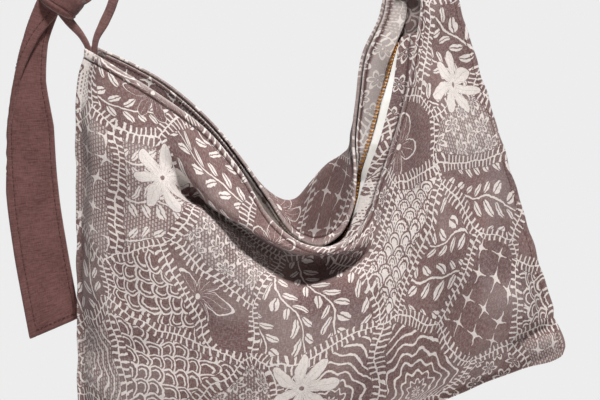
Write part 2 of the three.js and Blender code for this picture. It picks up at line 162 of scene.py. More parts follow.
DROP = [DropRow(*row) for row in (
    (75, 0, 32), (75, 0, 32), (75, 0, 32), (75, 0, 32), (75, 0, 34),
    (72, 0, 38), (62, 0, 50), (36, 0, 62), (2, 0, 46), (-8, 0, 30),
    (2, 3, 26), (2, 5, 8), (2, 6, 16), (4, -10, 70), (2, -10, 66),
    (4, 0, 56), (8, 10, 40), (6, 0, 20), (6, 0, 30), (6, 0, 30),
)]

FRONT_FOLDS = [Fold(*row) for row in (
    (-140, -360, -120, -560, 16, -1.6), (-60, -480, 60, -610, 26, 2.2), (120, -470, 190, -590, 22, -2.4),
    (150, -330, 212, -520, 16, 1.6), (-120, -640, 40, -600, 20, -1.8), (200, -574, 252, -552, 4, -4.2),
    (200, -586, 253, -563, 6, 2.6), (236, -520, 222, -566, 5, -1.9), (168, -500, 228, -560, 11, 1.8),
    (190, -455, 232, -540, 8, -1.4), (-150, -420, -120, -640, 10, 1.2), (96, -560, 30, -650, 16, 1.4),
    (-82, -432, -56, -454, 7, -5.0),
)]

BACK_FOLDS = [Fold(*row) for row in (
    (-130, -360, -60, -600, 20, -2.0), (60, -500, 20, -630, 24, 2.0), (120, -360, 200, -560, 20, -2.2),
)]

CORNER_LOOP = [Stop(*row) for row in (
    (-154.5, 0, -334, 0, 5, 1.4), (-154.5, 0, -322, 0, 5, 1.4), (-160, 0, -311, 0, 5, 3),
    (-171, 0, -298, 0, 7.6, 3), (-178, 0, -287, 0, 7.6, 3), (-174, 0, -273, 0, 7.6, 3),
    (-163, 0, -261, 0, 7.6, 3), (-151, 0, -254, 0, 7.6, 3), (-138, 0, -257, 0, 7.6, 3),
    (-131, 0, -269, 0, 7.6, 3), (-134, 0, -284, 0, 7.6, 3), (-141, 0, -300, 0, 7.6, 3),
    (-147.5, 0, -313, 0, 5, 3), (-149, 0, -322, 0, 5, 1.4), (-149, 0, -334, 0, 5, 1.4),
)]

STRAP_ROUTE = [Stop(*row) for row in (
    (127, 0, -272, 0, 40), (128, 0, -255, 0, 40), (119, 0, -215, 20), (100, 0, -160, 45),
    (76, 0, -100, 70), (52, 0, -48, 85), (30, 0, -13, 90), (0, 0, STRAP_CLOTH / 2, 90),
    (-30, 0, -13, 90), (-56, 0, -48, 90), (-88, 0, -100, 90), (-120, 0, -160, 90),
    (-146, 0, -210, 90, 36, 4), (-163, 0, -245, 90, 26, 8),
)]

TAIL_ROUTE = [Stop(*row) for row in (
    (-181, -2, -270, 0, 19, 7), (-190.4, -2, -289.8, 0, 20, 7), (-198.9, -3, -314.5, 0, 20, 6.4),
    (-204, -2, -348.5, 0, 26, 6), (-204, 0, -388.5, 0, 39, 4.4), (-202.3, 3, -442, 0, 43, 3),
    (-195.5, 7, -493), (-183.6, 11, -559.3),
)]

KNOT_CORE = [Stop(*row) for row in (
    (-163.3, 0, -245.6, 90, 26, 9), (-167, 1, -258, 90, 25, 9), (-175, 2, -275, 90, 24, 9),
    (-184, 1, -284, 70, 22, 9), (-189, 0, -289, 40, 20, 9),
)]

KNOT_LOBE = [Stop(*row) for row in (
    (-163, 6, -256, 0, 14, 5), (-153, 6, -262, 0, 14, 5), (-156, 4, -275, 0, 14, 5),
    (-167, 2, -281, 0, 14, 5),
)]


def unit(vectors: Array) -> Array:
    """Vectors of length one, along the last axis."""
    return vectors / np.maximum(np.linalg.norm(vectors, axis=-1, keepdims=True), 1e-12)


def smooth(value: Array | float, low: float, high: float) -> Array:
    """A soft step from 0 at low to 1 at high."""
    share = np.clip((np.asarray(value, float) - low) / (high - low), 0, 1)
    return share * share * (3 - 2 * share)


def window(value: Array, rise: tuple[float, float], fall: tuple[float, float]) -> Array:
    """A soft step up, and a soft step down again."""
    return smooth(value, *rise) * smooth(value, *fall)


def bell(value: Array, centre: Array | float, width: float) -> Array:
    """A soft bump of height 1 around a centre."""
    return np.exp(-(((value - centre) / width) ** 2))


def lengths_along(points: Array) -> Array:
    """The distance of each point from the first, along the line through them."""
    steps = np.linalg.norm(np.diff(points, axis=0), axis=1)
    return np.concatenate([[0.0], np.cumsum(steps)])


def rows_at(values: Array, known: Array, wanted: Array) -> Array:
    """Rows of values at places between those where they are known."""
    return np.stack([np.interp(wanted, known, column) for column in values.T], axis=1)


def resample(points: Array, distances: Array) -> Array:
    """Points at set distances along a line of points."""
    return rows_at(points, lengths_along(points), distances)


def tube_faces(rings: int, sides: int, inward: bool = False) -> list[list[int]]:
    """Faces of a closed tube whose points run ring by ring.

    Args:
        rings: How many rings it has.
        sides: How many points a ring has.
        inward: Whether the rings run the other way about.

    Returns:
        Point numbers of each face, with the two ends last.
    """
    faces = []
    for ring in range(rings - 1):
        for k in range(sides):
            pair = (ring * sides + k, ring * sides + (k + 1) % sides)
            a, b = reversed(pair) if inward else pair
            faces.append([a, b, b + sides, a + sides])
    ends = [list(range(sides)), list(range(rings * sides - 1, (rings - 1) * sides - 1, -1))]
    return faces + (ends if inward else [end[::-1] for end in ends])


def shifted(faces: Sequence[Sequence[int]], base: int) -> list[list[int]]:
    """Faces whose point numbers start at base."""
    return [[base + corner for corner in face] for face in faces]


class Spline:
    """A smooth centripetal curve through points, one span between each two."""

    def __init__(self, points: Array) -> None:
        """Keeps the points that the curve goes through."""
        self.points = np.asarray(points, float)

    def at(self, places: Array) -> Array:
        """Points of the curve.

        Args:
            places: Places counted in spans from the first point.

        Returns:
            One row for each place.
        """
        given = self.points
        ends = (2 * given[0] - given[1], 2 * given[-1] - given[-2])
        padded = np.vstack([ends[0], given, ends[1]])
        first = np.clip(np.floor(places).astype(int), 0, len(given) - 2)
        share = (np.asarray(places, float) - first)[:, None]
        p0, p1, p2, p3 = (padded[first + k] for k in range(4))
        d0, d1, d2 = (self._knot(a, b) for a, b in ((p0, p1), (p1, p2), (p2, p3)))
        leave = ((p1 - p0) / d0 - (p2 - p0) / (d0 + d1) + (p2 - p1) / d1) * d1
        arrive = ((p2 - p1) / d1 - (p3 - p1) / (d1 + d2) + (p3 - p2) / d2) * d1
        square = -3 * p1 + 3 * p2 - 2 * leave - arrive
        cube = 2 * p1 - 2 * p2 + leave + arrive
        return p1 + leave * share + square * share**2 + cube * share**3

    @staticmethod
    def _knot(a: Array, b: Array) -> Array:
        """The curve's own measure of the way between two rows of points."""
        return np.maximum(np.sum((b - a) ** 2, axis=1, keepdims=True), 1e-12) ** 0.25


@dataclass(frozen=True)
class Rumple:
    """Soft unevenness of used cloth: waves of many lengths in all directions."""

    seed: int
    longest: float
    shortest: float
    height: float
    count: int = 26
    fade: float = 1.3

    def at(self, u: Array, v: Array) -> Array:
        """The cloth's rise at each place of a grid, in millimetres.

        Args:
            u: Places across the cloth.
            v: Places along it.

        Returns:
            One rise for each place.
        """
        rng = np.random.default_rng(self.seed)
        total = np.zeros_like(u)
        for wave in np.geomspace(self.longest, self.shortest, self.count):
            angle, phase = rng.uniform(0, 2 * math.pi, 2)
            swing = (u * math.cos(angle) + v * math.sin(angle)) * 2 * math.pi / wave
            height = self.height * (wave / self.longest) ** self.fade
            total += height * np.sin(swing + phase) / math.sqrt(self.count / 4)
        return total


@dataclass
class ClothGrid:
    """A piece of cloth as a grid of points in millimetres.

    thickness and flat are given at each point, proud is the share of the thickness in front of the
    points, side turns the outer face, closed joins the first column to the last, wear_and_painted_shading
    is above 0 where rub and painted highlight make the cloth paler and below 0 where painted shade
    darkens it, and reverse is how far the inner face shows the cloth's other side.
    """

    points: Array
    thickness: Array
    flat: Array
    proud: float = 0.5
    side: float = 1.0
    closed: bool = False
    wear_and_painted_shading: Array | float = 0.0
    reverse: float = 1.0
    edge_round: float = 0.4

    def normals(self) -> Array:
        """The way out of the cloth at each point.

        Returns:
            One way of length one for each point.
        """
        if self.closed:
            along = np.roll(self.points, -1, axis=0) - np.roll(self.points, 1, axis=0)
        else:
            along = np.gradient(self.points, axis=0)
        across = np.gradient(self.points, axis=1)
        return unit(np.cross(along, across)) * self.side

    def faces_of_cloth(self) -> tuple[Array, Array]:
        """The outer and the inner face as grids of points."""
        out = self.normals() * self.thickness[..., None]
        return self.points + out * self.proud, self.points - out * (1 - self.proud)

    @property
    def length(self) -> float:
        """Length of the flat cloth."""
        return float(np.ptp(self.flat[..., 0]))

    def rims(self) -> list[list[tuple[int, int]]]:
        """The open edges, each as a loop of grid places with the cloth on its left.

        Returns:
            One loop, or two where the cloth is a closed band.
        """
        count, high = self.points.shape[:2]
        foot = [(i, 0) for i in range(count)]
        lip = [(i, high - 1) for i in reversed(range(count))]
        if self.closed:
            return [foot, lip]
        right = [(count - 1, j) for j in range(1, high - 1)]
        left = [(0, j) for j in reversed(range(1, high - 1))]
        return [foot + right + lip + left]

    def build(self, name: str) -> bpy.types.Object:
        """Makes the closed mesh of the cloth with rounded edges.

        Args:
            name: The new object's name.

        Returns:
            The object, in metres, with flat places in its cloth map.
        """
        count, high = self.points.shape[:2]
        skin = count * high
        outer, inner = self.faces_of_cloth()
        at = np.arange(skin).reshape(count, high)
        columns = at if self.closed else at[:-1]
        beyond = np.roll(at, -1, axis=0) if self.closed else at[1:]
        corners = [columns[:, :-1], beyond[:, :-1], beyond[:, 1:], columns[:, 1:]]
        quads = np.stack(corners, axis=-1).reshape(-1, 4)
        faces = [quads, quads[:, ::-1] + skin]
        middle = (outer + inner) / 2
        extra: list[Array] = []
        extra_flat: list[Array] = []
        # Each point's rub and painted shading, the rims included.
        tone_shift = np.broadcast_to(np.asarray(self.wear_and_painted_shading, float), (count, high))
        extra_tone_shift: list[Array] = []
        for rim in self.rims():
            rows = np.array(rim)
            i, j = rows[:, 0], rows[:, 1]
            near_i = i if self.closed else np.clip(i, 1, count - 2)
            outward = unit(middle[i, j] - middle[near_i, np.clip(j, 1, high - 2)])
            soft = middle[i, j] + outward * self.edge_round * self.thickness[i, j][:, None]
            base = 2 * skin + sum(len(part) for part in extra)
            this = np.arange(len(rows))
            after = np.roll(this, -1)
            top = at[i, j]
            faces.append(np.stack([top[after], top[this], base + this, base + after], axis=1))
            faces.append(np.stack([base + after, base + this, top[this] + skin, top[after] + skin], axis=1))
            extra.append(soft)
            extra_flat.append(self.flat[i, j])
            extra_tone_shift.append(tone_shift[i, j])
        points = np.concatenate([outer.reshape(-1, 3), inner.reshape(-1, 3), *extra])
        flat = np.concatenate([self.flat.reshape(-1, 2)] * 2 + extra_flat)
        shares = np.concatenate([np.zeros(skin), np.ones(skin), np.full(len(points) - 2 * skin, 0.5)])
        wear_and_painted_shading = np.concatenate([tone_shift.ravel(), tone_shift.ravel(), *extra_tone_shift])
        quads = np.concatenate(faces)
        if self.side < 0:
            quads = quads[:, ::-1]
        values = {"inside": shares * self.reverse, "wear_and_painted_shading": wear_and_painted_shading}
        return make_object(name, points, quads.tolist(), flat, values)

    def line(self, along: Array, across: Array, face: float) -> tuple[Array, Array]:
        """A line drawn on the cloth.

        Args:
            along: Places along the grid's first way, in grid steps.
            across: Places along its second way, in grid steps.
            face: 1 for the outer face and -1 for the inner one.

        Returns:
            The line's points and the way out of the cloth at each.
        """
        outer, inner = self.faces_of_cloth()
        surface = outer if face > 0 else inner
        normals = self.normals() * face
        return self._pick(surface, along, across), unit(self._pick(normals, along, across))

    @staticmethod
    def _pick(grid: Array, along: Array, across: Array) -> Array:
        """Values of a grid at places between its points.

        Args:
            grid: A row of values for each point.
            along: Places along the first way, in grid steps.
            across: Places along the second way, in grid steps.

        Returns:
            One row for each place.
        """
        i = np.clip(np.floor(along).astype(int), 0, grid.shape[0] - 2)
        j = np.clip(np.floor(across).astype(int), 0, grid.shape[1] - 2)
        a, b = (along - i)[:, None], (across - j)[:, None]
        low = grid[i, j] * (1 - a) + grid[i + 1, j] * a
        high = grid[i, j + 1] * (1 - a) + grid[i + 1, j + 1] * a
        return low * (1 - b) + high * b


def put(name: str, data: bpy.types.ID) -> bpy.types.Object:
    """Puts new data into the scene as an object.

    Args:
        name: The object's name.
        data: Its mesh, lamp or camera.

    Returns:
        The object.
    """
    made = bpy.data.objects.new(name, data)
    bpy.context.scene.collection.objects.link(made)
    return made


def make_object(
    name: str, points: Array, faces: Sequence[Sequence[int]], flat: Array | None = None,
    values: dict[str, Array] | None = None,
) -> bpy.types.Object:
    """Makes a smooth mesh object from points in millimetres.

    Args:
        name: The object's name.
        points: One row for each point.
        faces: Point numbers of each face.
        flat: Flat place of each point on the cloth, in millimetres.
        values: Named values of each point for the finishes.

    Returns:
        The object.
    """
    mesh = bpy.data.meshes.new(name)
    mesh.from_pydata((np.asarray(points) * MM).tolist(), [], faces)
    mesh.polygons.foreach_set("use_smooth", [True] * len(mesh.polygons))
    if flat is not None:
        corners = np.empty(len(mesh.loops), dtype=np.int32)
        mesh.loops.foreach_get("vertex_index", corners)
        layer = mesh.uv_layers.new(name="cloth")
        layer.data.foreach_set("uv", (flat[corners] * MM).astype(np.float32).ravel())
    for key, column in (values or {}).items():
        layer = mesh.attributes.new(key, "FLOAT", "POINT")
        layer.data.foreach_set("value", column.astype(np.float32))
    mesh.update()
    return put(name, mesh)


class Seam(Enum):
    """Kinds of sewn line: stitch length, gap and thread radius in millimetres."""

    TOPSTITCH = (2.7, 0.9, 0.34)
    STRAP_EDGE = (2.9, 1.1, 0.36)


class Stitching:
    """Rows of stitches gathered into one mesh, each stitch a short rounded tube."""

    SHARES = np.array([0.0, 0.16, 0.5, 0.84, 1.0])
    RISE = np.array([-0.5, 0.35, 0.6, 0.35, -0.5])
    GIRTH = np.array([0.45, 0.95, 1.0, 0.95, 0.45])
    SIDES = 6

    def __init__(self) -> None:
        """Starts with no stitches."""
        self.points: list[Array] = []
        self.faces: list[list[int]] = []

    def sew(self, line: Array, out: Array, seam: Seam) -> None:
        """Adds a row of stitches along a line.

        Args:
            line: Points of the sewn line.
            out: The way out of the cloth at each point.
            seam: The kind of stitch.
        """
        length, gap, radius = seam.value
        place = lengths_along(line)
        for start in np.arange(gap, place[-1] - length, length + gap):
            spots = start + self.SHARES * length
            lift = unit(rows_at(out, place, spots))
            rise = self.RISE * radius
            self._grain(rows_at(line, place, spots) + lift * rise[:, None], lift, radius * self.GIRTH)

    def sew_through(self, grid: ClothGrid, along: Array, across: Array) -> None:
        """Adds the same row of stitches on both faces of a strap.

        Args:
            grid: The strap's cloth.
            along: Places along the grid's first way, in grid steps.
            across: Places along its second way, in grid steps.
        """
        for face in (1, -1):
            self.sew(*grid.line(along, across, face), Seam.STRAP_EDGE)

    def _grain(self, centre: Array, lift: Array, radius: Array) -> None:
        """Adds one stitch.

        Args:
            centre: The middle of each ring.
            lift: The way out of the cloth at each ring.
            radius: The size of each ring.
        """
        wide = unit(np.cross(unit(np.gradient(centre, axis=0)), lift))
        base = len(self.points)
        for middle, aside, up, size in zip(centre, wide, lift, radius):
            for k in range(self.SIDES):
                angle = 2 * math.pi * k / self.SIDES
                self.points.append(middle + (aside * math.cos(angle) + up * math.sin(angle)) * size)
        self.faces.extend(shifted(tube_faces(len(centre), self.SIDES, inward=True), base))

    def build(self, name: str) -> bpy.types.Object:
        """Makes the object that holds all the stitches."""
        return make_object(name, np.array(self.points), self.faces)


def maths(operation: str, flipped: bool = False) -> Callable[..., "Val"]:
    """Makes a method of Val that adds a Math node.

    Args:
        operation: What the node works out.
        flipped: Whether the value itself comes last.

    Returns:
        The method, which takes the node's other values.
    """

    def apply(own: "Val", *others: "Val | float") -> "Val":
        """The node's result for the value and the others."""
        values = (*others, own) if flipped else (own, *others)
        return own.pen.value("ShaderNodeMath", 0, {"operation": operation}, dict(enumerate(values)))

    return apply


class Val:
    """A value in a material that Python's operators can work with. Angles are in radians."""

    __add__ = __radd__ = maths("ADD")
    __mul__ = __rmul__ = maths("MULTIPLY")
    __sub__, __rsub__ = maths("SUBTRACT"), maths("SUBTRACT", flipped=True)
    __truediv__ = maths("DIVIDE")
    __lt__, __gt__ = maths("LESS_THAN"), maths("GREATER_THAN")
    __abs__ = maths("ABSOLUTE")
    sin, cos, sqrt = maths("SINE"), maths("COSINE"), maths("SQRT")
    fract, floor = maths("FRACT"), maths("FLOOR")
    angle_to, most = maths("ARCTAN2"), maths("MAXIMUM")

    def __init__(self, pen: "Pen", socket: bpy.types.NodeSocket) -> None:
        """Wraps an output socket of the pen's material."""
        self.pen = pen
        self.socket = socket

    def ramp(self, low: float, high: float) -> "Val":
        """0 at low, 1 at high and straight between."""
        inputs = {"Value": self, "From Min": low, "From Max": high}
        return self.pen.value("ShaderNodeMapRange", "Result", {"clamp": True}, inputs)

    def cell(self, length: float) -> "Val":
        """Place from the middle of a cell, in a row of cells of one length."""
        return ((self / length).fract() - 0.5) * length

    def wave(self, length: float) -> "Val":
        """Distance from the middle of a cell, in a row of cells of one length."""
        return abs(self.cell(length))


class Pen:
    """Writes the nodes of one material, or of the world."""

    def __init__(self, owner: bpy.types.Material | bpy.types.World) -> None:
        """Clears the nodes of a material or of the world.

        Args:
            owner: The material or the world.
        """
        owner.use_nodes = True
        self.owner = owner
        self.tree = owner.node_tree
        self.tree.nodes.clear()

    @classmethod
    def material(cls, name: str) -> "Pen":
        """A pen on a new material."""
        return cls(bpy.data.materials.new(name))

    def node(self, kind: str, settings: dict | None = None, inputs: dict | None = None) -> bpy.types.Node:
        """Adds a node.

        Args:
            kind: The node's type.
            settings: Its own settings, set first.
            inputs: Values or links of its sockets, by name or number.

        Returns:
            The node.
        """
        made = self.tree.nodes.new(kind)
        for name, value in (settings or {}).items():
            setattr(made, name, value)
        for key, value in (inputs or {}).items():
            target = made.inputs[key]
            source = value.socket if isinstance(value, Val) else value
            if isinstance(source, bpy.types.NodeSocket):
                self.tree.links.new(source, target)
            else:
                target.default_value = source
        return made

    def value(
        self, kind: str, output: str | int, settings: dict | None = None, inputs: dict | None = None,
    ) -> Val:
        """Adds a node and wraps one of its outputs."""
        return Val(self, self.node(kind, settings, inputs).outputs[output])

    def split(self, vector: Val) -> tuple[Val, Val, Val]:
        """The three parts of a vector or colour."""
        parts = self.node("ShaderNodeSeparateXYZ", None, {0: vector}).outputs
        return Val(self, parts[0]), Val(self, parts[1]), Val(self, parts[2])

    def join(self, x: Val | float, y: Val | float, z: Val | float = 0.0) -> Val:
        """A vector from its parts."""
        return self.value("ShaderNodeCombineXYZ", 0, None, {0: x, 1: y, 2: z})

    def cloth(self) -> tuple[Val, Val]:
        """The flat place on the cloth, in millimetres."""
        u, v, _ = self.split(self.value("ShaderNodeUVMap", 0, {"uv_map": "cloth"}))
        return u * (1 / MM), v * (1 / MM)

    def place(self) -> tuple[Val, Val, Val]:
        """The place on the object, in metres."""
        return self.split(self.value("ShaderNodeTexCoord", "Object"))

    def attribute(self, name: str) -> Val:
        """A value that the mesh holds for each point."""
        return self.value("ShaderNodeAttribute", "Fac", {"attribute_name": name})

    def weave(self, x: Val, y: Val, thread: float) -> Val:
        """Height of a plain weave, from 0 to a half."""
        warp, weft = ((way * (2 * math.pi / thread)).sin() for way in (x, y))
        return (warp * weft * 0.5 + 0.5) * 0.5

    def noise(self, x: Val, y: Val, size: float, detail: float = 2.0, z: Val | float = 0.0) -> Val:
        """Soft noise from 0 to 1 whose grains are about size across."""
        inputs = {"Vector": self.join(x / size, y / size, z), "Scale": 1.0, "Detail": detail}
        return self.value("ShaderNodeTexNoise", 0, {"noise_dimensions": "3D"}, inputs)

    def mix(self, share: Val | float, first: object, second: object) -> Val:
        """A colour between two others."""
        return self.value("ShaderNodeMix", 2, {"data_type": "RGBA"}, {0: share, 6: first, 7: second})

    def bump(self, height: Val, depth: float) -> Val:
        """A normal bent by a height from 0 to 1, that stands for depth in metres."""
        return self.value("ShaderNodeBump", 0, None, {"Height": height, "Distance": depth, "Strength": 1.0})

    def surface(self, **inputs: object) -> bpy.types.Material:
        """Ends the material with a plain surface.

        Args:
            inputs: The surface's sockets, with underscores for spaces.

        Returns:
            The material.
        """
        named = {name.replace("_", " "): value for name, value in inputs.items()}
        shader = self.node("ShaderNodeBsdfPrincipled", None, named)
        self.node("ShaderNodeOutputMaterial", None, {0: shader.outputs[0]})
        return self.owner


def tone(red: int, green: int, blue: int) -> tuple[float, float, float, float]:
    """A colour as seen on a screen, made ready for the shader.

    Args:
        red: Red from 0 to 255.
        green: Green from 0 to 255.
        blue: Blue from 0 to 255.

    Returns:
        The colour in linear light, with an alpha of 1.
    """
    parts = [value / 255 for value in (red, green, blue)]
    linear = [p / 12.92 if p <= 0.04045 else ((p + 0.055) / 1.055) ** 2.4 for p in parts]
    return (*linear, 1.0)


class Patch(Enum):
    """Fillings of the patchwork print, each with the share of cells up to which it is used."""

    BLOOM = 0.18
    SPRAY = 0.46
    DAISIES = 0.62
    MEDALLION = 0.68
    BASKET = 0.79
    STARS = 0.88
    SCALES = 1.01


@dataclass(frozen=True)
class PrintedCanvas:
    """Woven canvas with a patchwork of simple stitched motifs in cream on mauve.

    sway and shiver are each the size and the reach of a bend in the print, dash is the pitch of the
    dashes across and up, and grounds are the shares of cells where half and light grounds begin.
    """

    name: str = "printed_canvas"
    dark: tuple = tone(98, 73, 73)
    dusk: tuple = tone(120, 89, 85)
    pale: tuple = tone(224, 214, 208)
    cream: tuple = tone(236, 228, 223)
    inner: tuple = tone(120, 92, 82)
    shadow: tuple = tone(62, 42, 40)
    patch: float = 76.0
    blossom: float = 124.0
    scale: float = 1.3
    thread: float = 0.8
    ink_line: float = 0.75
    leaf_width: float = 25.0
    leaf_step: float = 10.0
    daisy_step: float = 14.0
    basket_block: float = 9.0
    basket_rib: float = 3.0
    star_step: float = 16.0
    scale_width: float = 12.8
    sway: tuple[float, float] = (40.0, 22.0)
    shiver: tuple[float, float] = (4.0, 2.2)
    patch_origin: tuple[float, float] = (410.0, 260.0)
    blossom_origin: tuple[float, float] = (88.0, 52.0)
    blossom_share: float = 0.62
    dash: tuple[float, float] = (2.8, 3.5)
    grounds: tuple[float, float] = (0.52, 0.80)
    border: float = 7.0
    tick_length: float = 6.4
    tick_step: float = 5.2

    @staticmethod
    def _cells(pen: Pen, x: Val, y: Val, size: float) -> dict[str, Val]:
        """The patch around a place.

        Args:
            pen: The material's pen.
            x: Place along the cloth.
            y: Place up the cloth.
            size: About how wide a patch is.

        Returns:
            The place in the patch, its distance from the edge and along it, and two chance values.
        """
        inputs = {"Vector": pen.join(x, y), "Scale": 1 / size, "Randomness": 0.9}
        nearest = pen.node("ShaderNodeTexVoronoi", {"voronoi_dimensions": "2D", "feature": "F1"}, inputs)
        second = pen.node("ShaderNodeTexVoronoi", {"voronoi_dimensions": "2D", "feature": "F2"}, inputs)
        ax, ay, _ = pen.split(Val(pen, nearest.outputs["Position"]))
        bx, by, _ = pen.split(Val(pen, second.outputs["Position"]))
        kind, turn, flip = pen.split(Val(pen, nearest.outputs["Color"]))
        nx, ny = bx - ax, by - ay
        gap = (nx * nx + ny * ny).sqrt().most(0.001)
        mx, my = x - (ax + bx) * 0.5, y - (ay + by) * 0.5
        swing = turn * (2 * math.pi)
        c, s = swing.cos(), swing.sin()
        dx, dy = x - ax, y - ay
        return {
            "x": dx * c + dy * s, "y": dy * c - dx * s, "kind": kind, "flip": flip,
            "edge": (mx * nx + my * ny) / gap * -1.0, "along": (my * nx - mx * ny) / gap,
        }

    def _flower(self, x: Val, y: Val, petals: float, core: float, reach: float) -> tuple[Val, Val]:
        """A flower's inside and its drawn lines, both from 0 to 1.

        Args:
            x: Place across, from the flower's middle.
            y: Place up, from its middle.
            petals: How many petals it has.
            core: Radius between two petals.
            reach: How far a petal stands out past that.

        Returns:
            The inside and the lines.
        """
        r = (x * x + y * y).sqrt()
        angle = y.angle_to(x)
        edge = abs((angle * (petals / 2)).cos()) * reach + core
        inside = r < edge
        veins = abs((angle * (petals * 1.5)).sin()) * r < self.ink_line
        veins = veins * (r > core * 0.55) * (r < edge - 2.2)
        drawn = (abs(r - edge) < self.ink_line).most(veins).most(r < core * 0.26)
        return inside, drawn

    def _motifs(self, x: Val, y: Val) -> dict[Patch, Val]:
        """Each filling's ink from 0 to 1 at a place in a patch.

        Args:
            x: Place across the patch.
            y: Place up the patch.

        Returns:
            The ink of each filling.
        """
        r = (x * x + y * y).sqrt()
        angle = y.angle_to(x)
        _, bloom = self._flower(x, y, petals=5, core=8.0, reach=13.0)
        stem = (x + (y / 9).sin() * 3).cell(self.leaf_width)
        step = y.cell(self.leaf_step)
        lean, turn = (abs(stem) - 5.6 + step) * 0.7, (abs(stem) - 5.6 - step) * 0.7
        leaf = lean * lean / 23 + turn * turn / 4.6 < 1
        spray = (leaf * (abs(turn) > 0.34)).most(abs(stem) < 0.6)
        gx, gy = x.cell(self.daisy_step), y.cell(self.daisy_step)
        _, daisies = self._flower(gx, gy, petals=6, core=2.4, reach=3.4)
        medallion = ((r + (angle * 10).cos() * 1.3) / 6).wave(1.0) < 0.12
        blocks = ((x / self.basket_block).floor() + (y / self.basket_block).floor()) * 0.5
        lying = blocks.fract() > 0.25
        ribs_x, ribs_y = (way.wave(self.basket_rib) < 0.62 for way in (x, y))
        basket = ribs_x * lying + ribs_y * (1 - lying)
        sx, sy = x.cell(self.star_step), y.cell(self.star_step)
        stars = (abs(sx * sy) < 1.5) * ((abs(sx) + abs(sy)) < 6.4)
        high = self.scale_width / 2
        row = (y / high).floor()
        ux, uy = (x + row * high).cell(self.scale_width), (y / high).fract() * high
        arc = (ux * ux + uy * uy).sqrt()
        scales = (abs(arc - 5.9) < 0.55).most(abs(arc - 3.4) < 0.5)
        return {
            Patch.BLOOM: bloom, Patch.SPRAY: spray, Patch.DAISIES: daisies, Patch.MEDALLION: medallion,
            Patch.BASKET: basket, Patch.STARS: stars, Patch.SCALES: scales,
        }

    def _print(self, pen: Pen, x: Val, y: Val) -> Val:
        """The print from 0, dark, to 1, pale.

        Args:
            pen: The material's pen.
            x: Place across the cloth.
            y: Place along it.

        Returns:
            The print's value.
        """
        px, py = (
            way + (pen.noise(x, y, self.sway[0], 1.0, slow) - 0.5) * self.sway[1]
            + (pen.noise(x, y, self.shiver[0], 1.0, quick) - 0.5) * self.shiver[1]
            for way, slow, quick in ((x, 0.0, 2.2), (y, 7.3, 9.4))
        )
        cell = self._cells(pen, px + self.patch_origin[0], py + self.patch_origin[1], self.patch)
        ink: Val | float = 0.0
        below = -0.01
        for patch, value in self._motifs(cell["x"] / self.scale, cell["y"] / self.scale).items():
            ink = value * ((cell["kind"] > below) * (cell["kind"] < patch.value)) + ink
            below = patch.value
        ground = (cell["flip"] * 7.31).fract()
        half = (ground > self.grounds[0]) * (ground < self.grounds[1])
        light = ground > self.grounds[1]
        across, up = x / self.dash[0], y / self.dash[1]
        dash = (across.fract() < 0.42) * ((up + across.floor() * 0.5).fract() < 0.62)
        dashed = dash * (pen.noise(x, y, 16.0, 1.0, 4.4) > 0.47)
        plain = ink * (1 - half - light) + ink.most(0.08 + dash * 0.5) * half
        filled = plain + (1 - ink.most(dashed * 0.85)) * light
        ticked = (cell["along"] / self.tick_step).fract() < 0.32
        ticks = (ticked * (cell["edge"] < self.tick_length)).most(cell["edge"] < 0.6)
        border = cell["edge"] < self.border
        drawn = filled * (1 - border) + ticks * border
        sprig = self._cells(pen, px + self.blossom_origin[0], py + self.blossom_origin[1], self.blossom)
        inside, lines = self._flower(sprig["x"], sprig["y"], petals=7, core=9.0, reach=21.0)
        shown = inside * (sprig["kind"] < self.blossom_share)
        pale_petals = sprig["flip"] > 0.5
        petals = lines * (1 - pale_petals) + (1 - lines * 0.9) * pale_petals
        return drawn * (1 - shown) + petals * shown

    def material(self) -> bpy.types.Material:
        """Writes the cloth's material.

        Returns:
            The material.
        """
        pen = Pen.material(self.name)
        x, y = pen.cloth()
        figure = self._print(pen, x, y)
        grain = pen.noise(x * 0.3, y * 1.3, 1.0, 1.0) * 0.5 + pen.noise(x * 1.3, y * 0.3, 1.0, 1.0, 3.1) * 0.5
        soil = pen.noise(x, y, 60.0, 3.0)
        inside, wear_and_painted_shading = pen.attribute("inside"), pen.attribute("wear_and_painted_shading")
        share = (figure * 0.84 + 0.06 + (grain - 0.5) * 0.95).ramp(0.0, 1.0)
        turned = share * (1 - inside) + (0.16 + share * 0.34) * inside
        # Paler where the cloth is rubbed, and where painted highlight and painted light are laid on.
        rub_and_painted_shading = turned + wear_and_painted_shading.ramp(0.0, 1.0) * 0.45 * (1 - turned)
        dusky = pen.mix(soil.ramp(0.3, 0.75), self.dark, self.dusk)
        cream = pen.mix(soil.ramp(0.25, 0.8), self.pale, self.cream)
        woven = pen.mix(rub_and_painted_shading, dusky, cream)
        brown = pen.mix(inside * 0.45, woven, self.inner)
        # Painted shade: darker towards the shadow colour inside the mouth, in dents and along sewn lines.
        colour = pen.mix(wear_and_painted_shading.ramp(0.0, -1.0) * 0.75, brown, self.shadow)
        height = pen.weave(x, y, self.thread) + figure * 0.3 + grain * 0.6
        return pen.surface(
            Base_Color=colour, Roughness=(0.95 - figure * 0.1), Normal=pen.bump(height, 0.00028),
            Sheen_Weight=0.12, Sheen_Roughness=0.5, Specular_IOR_Level=0.15,
        )


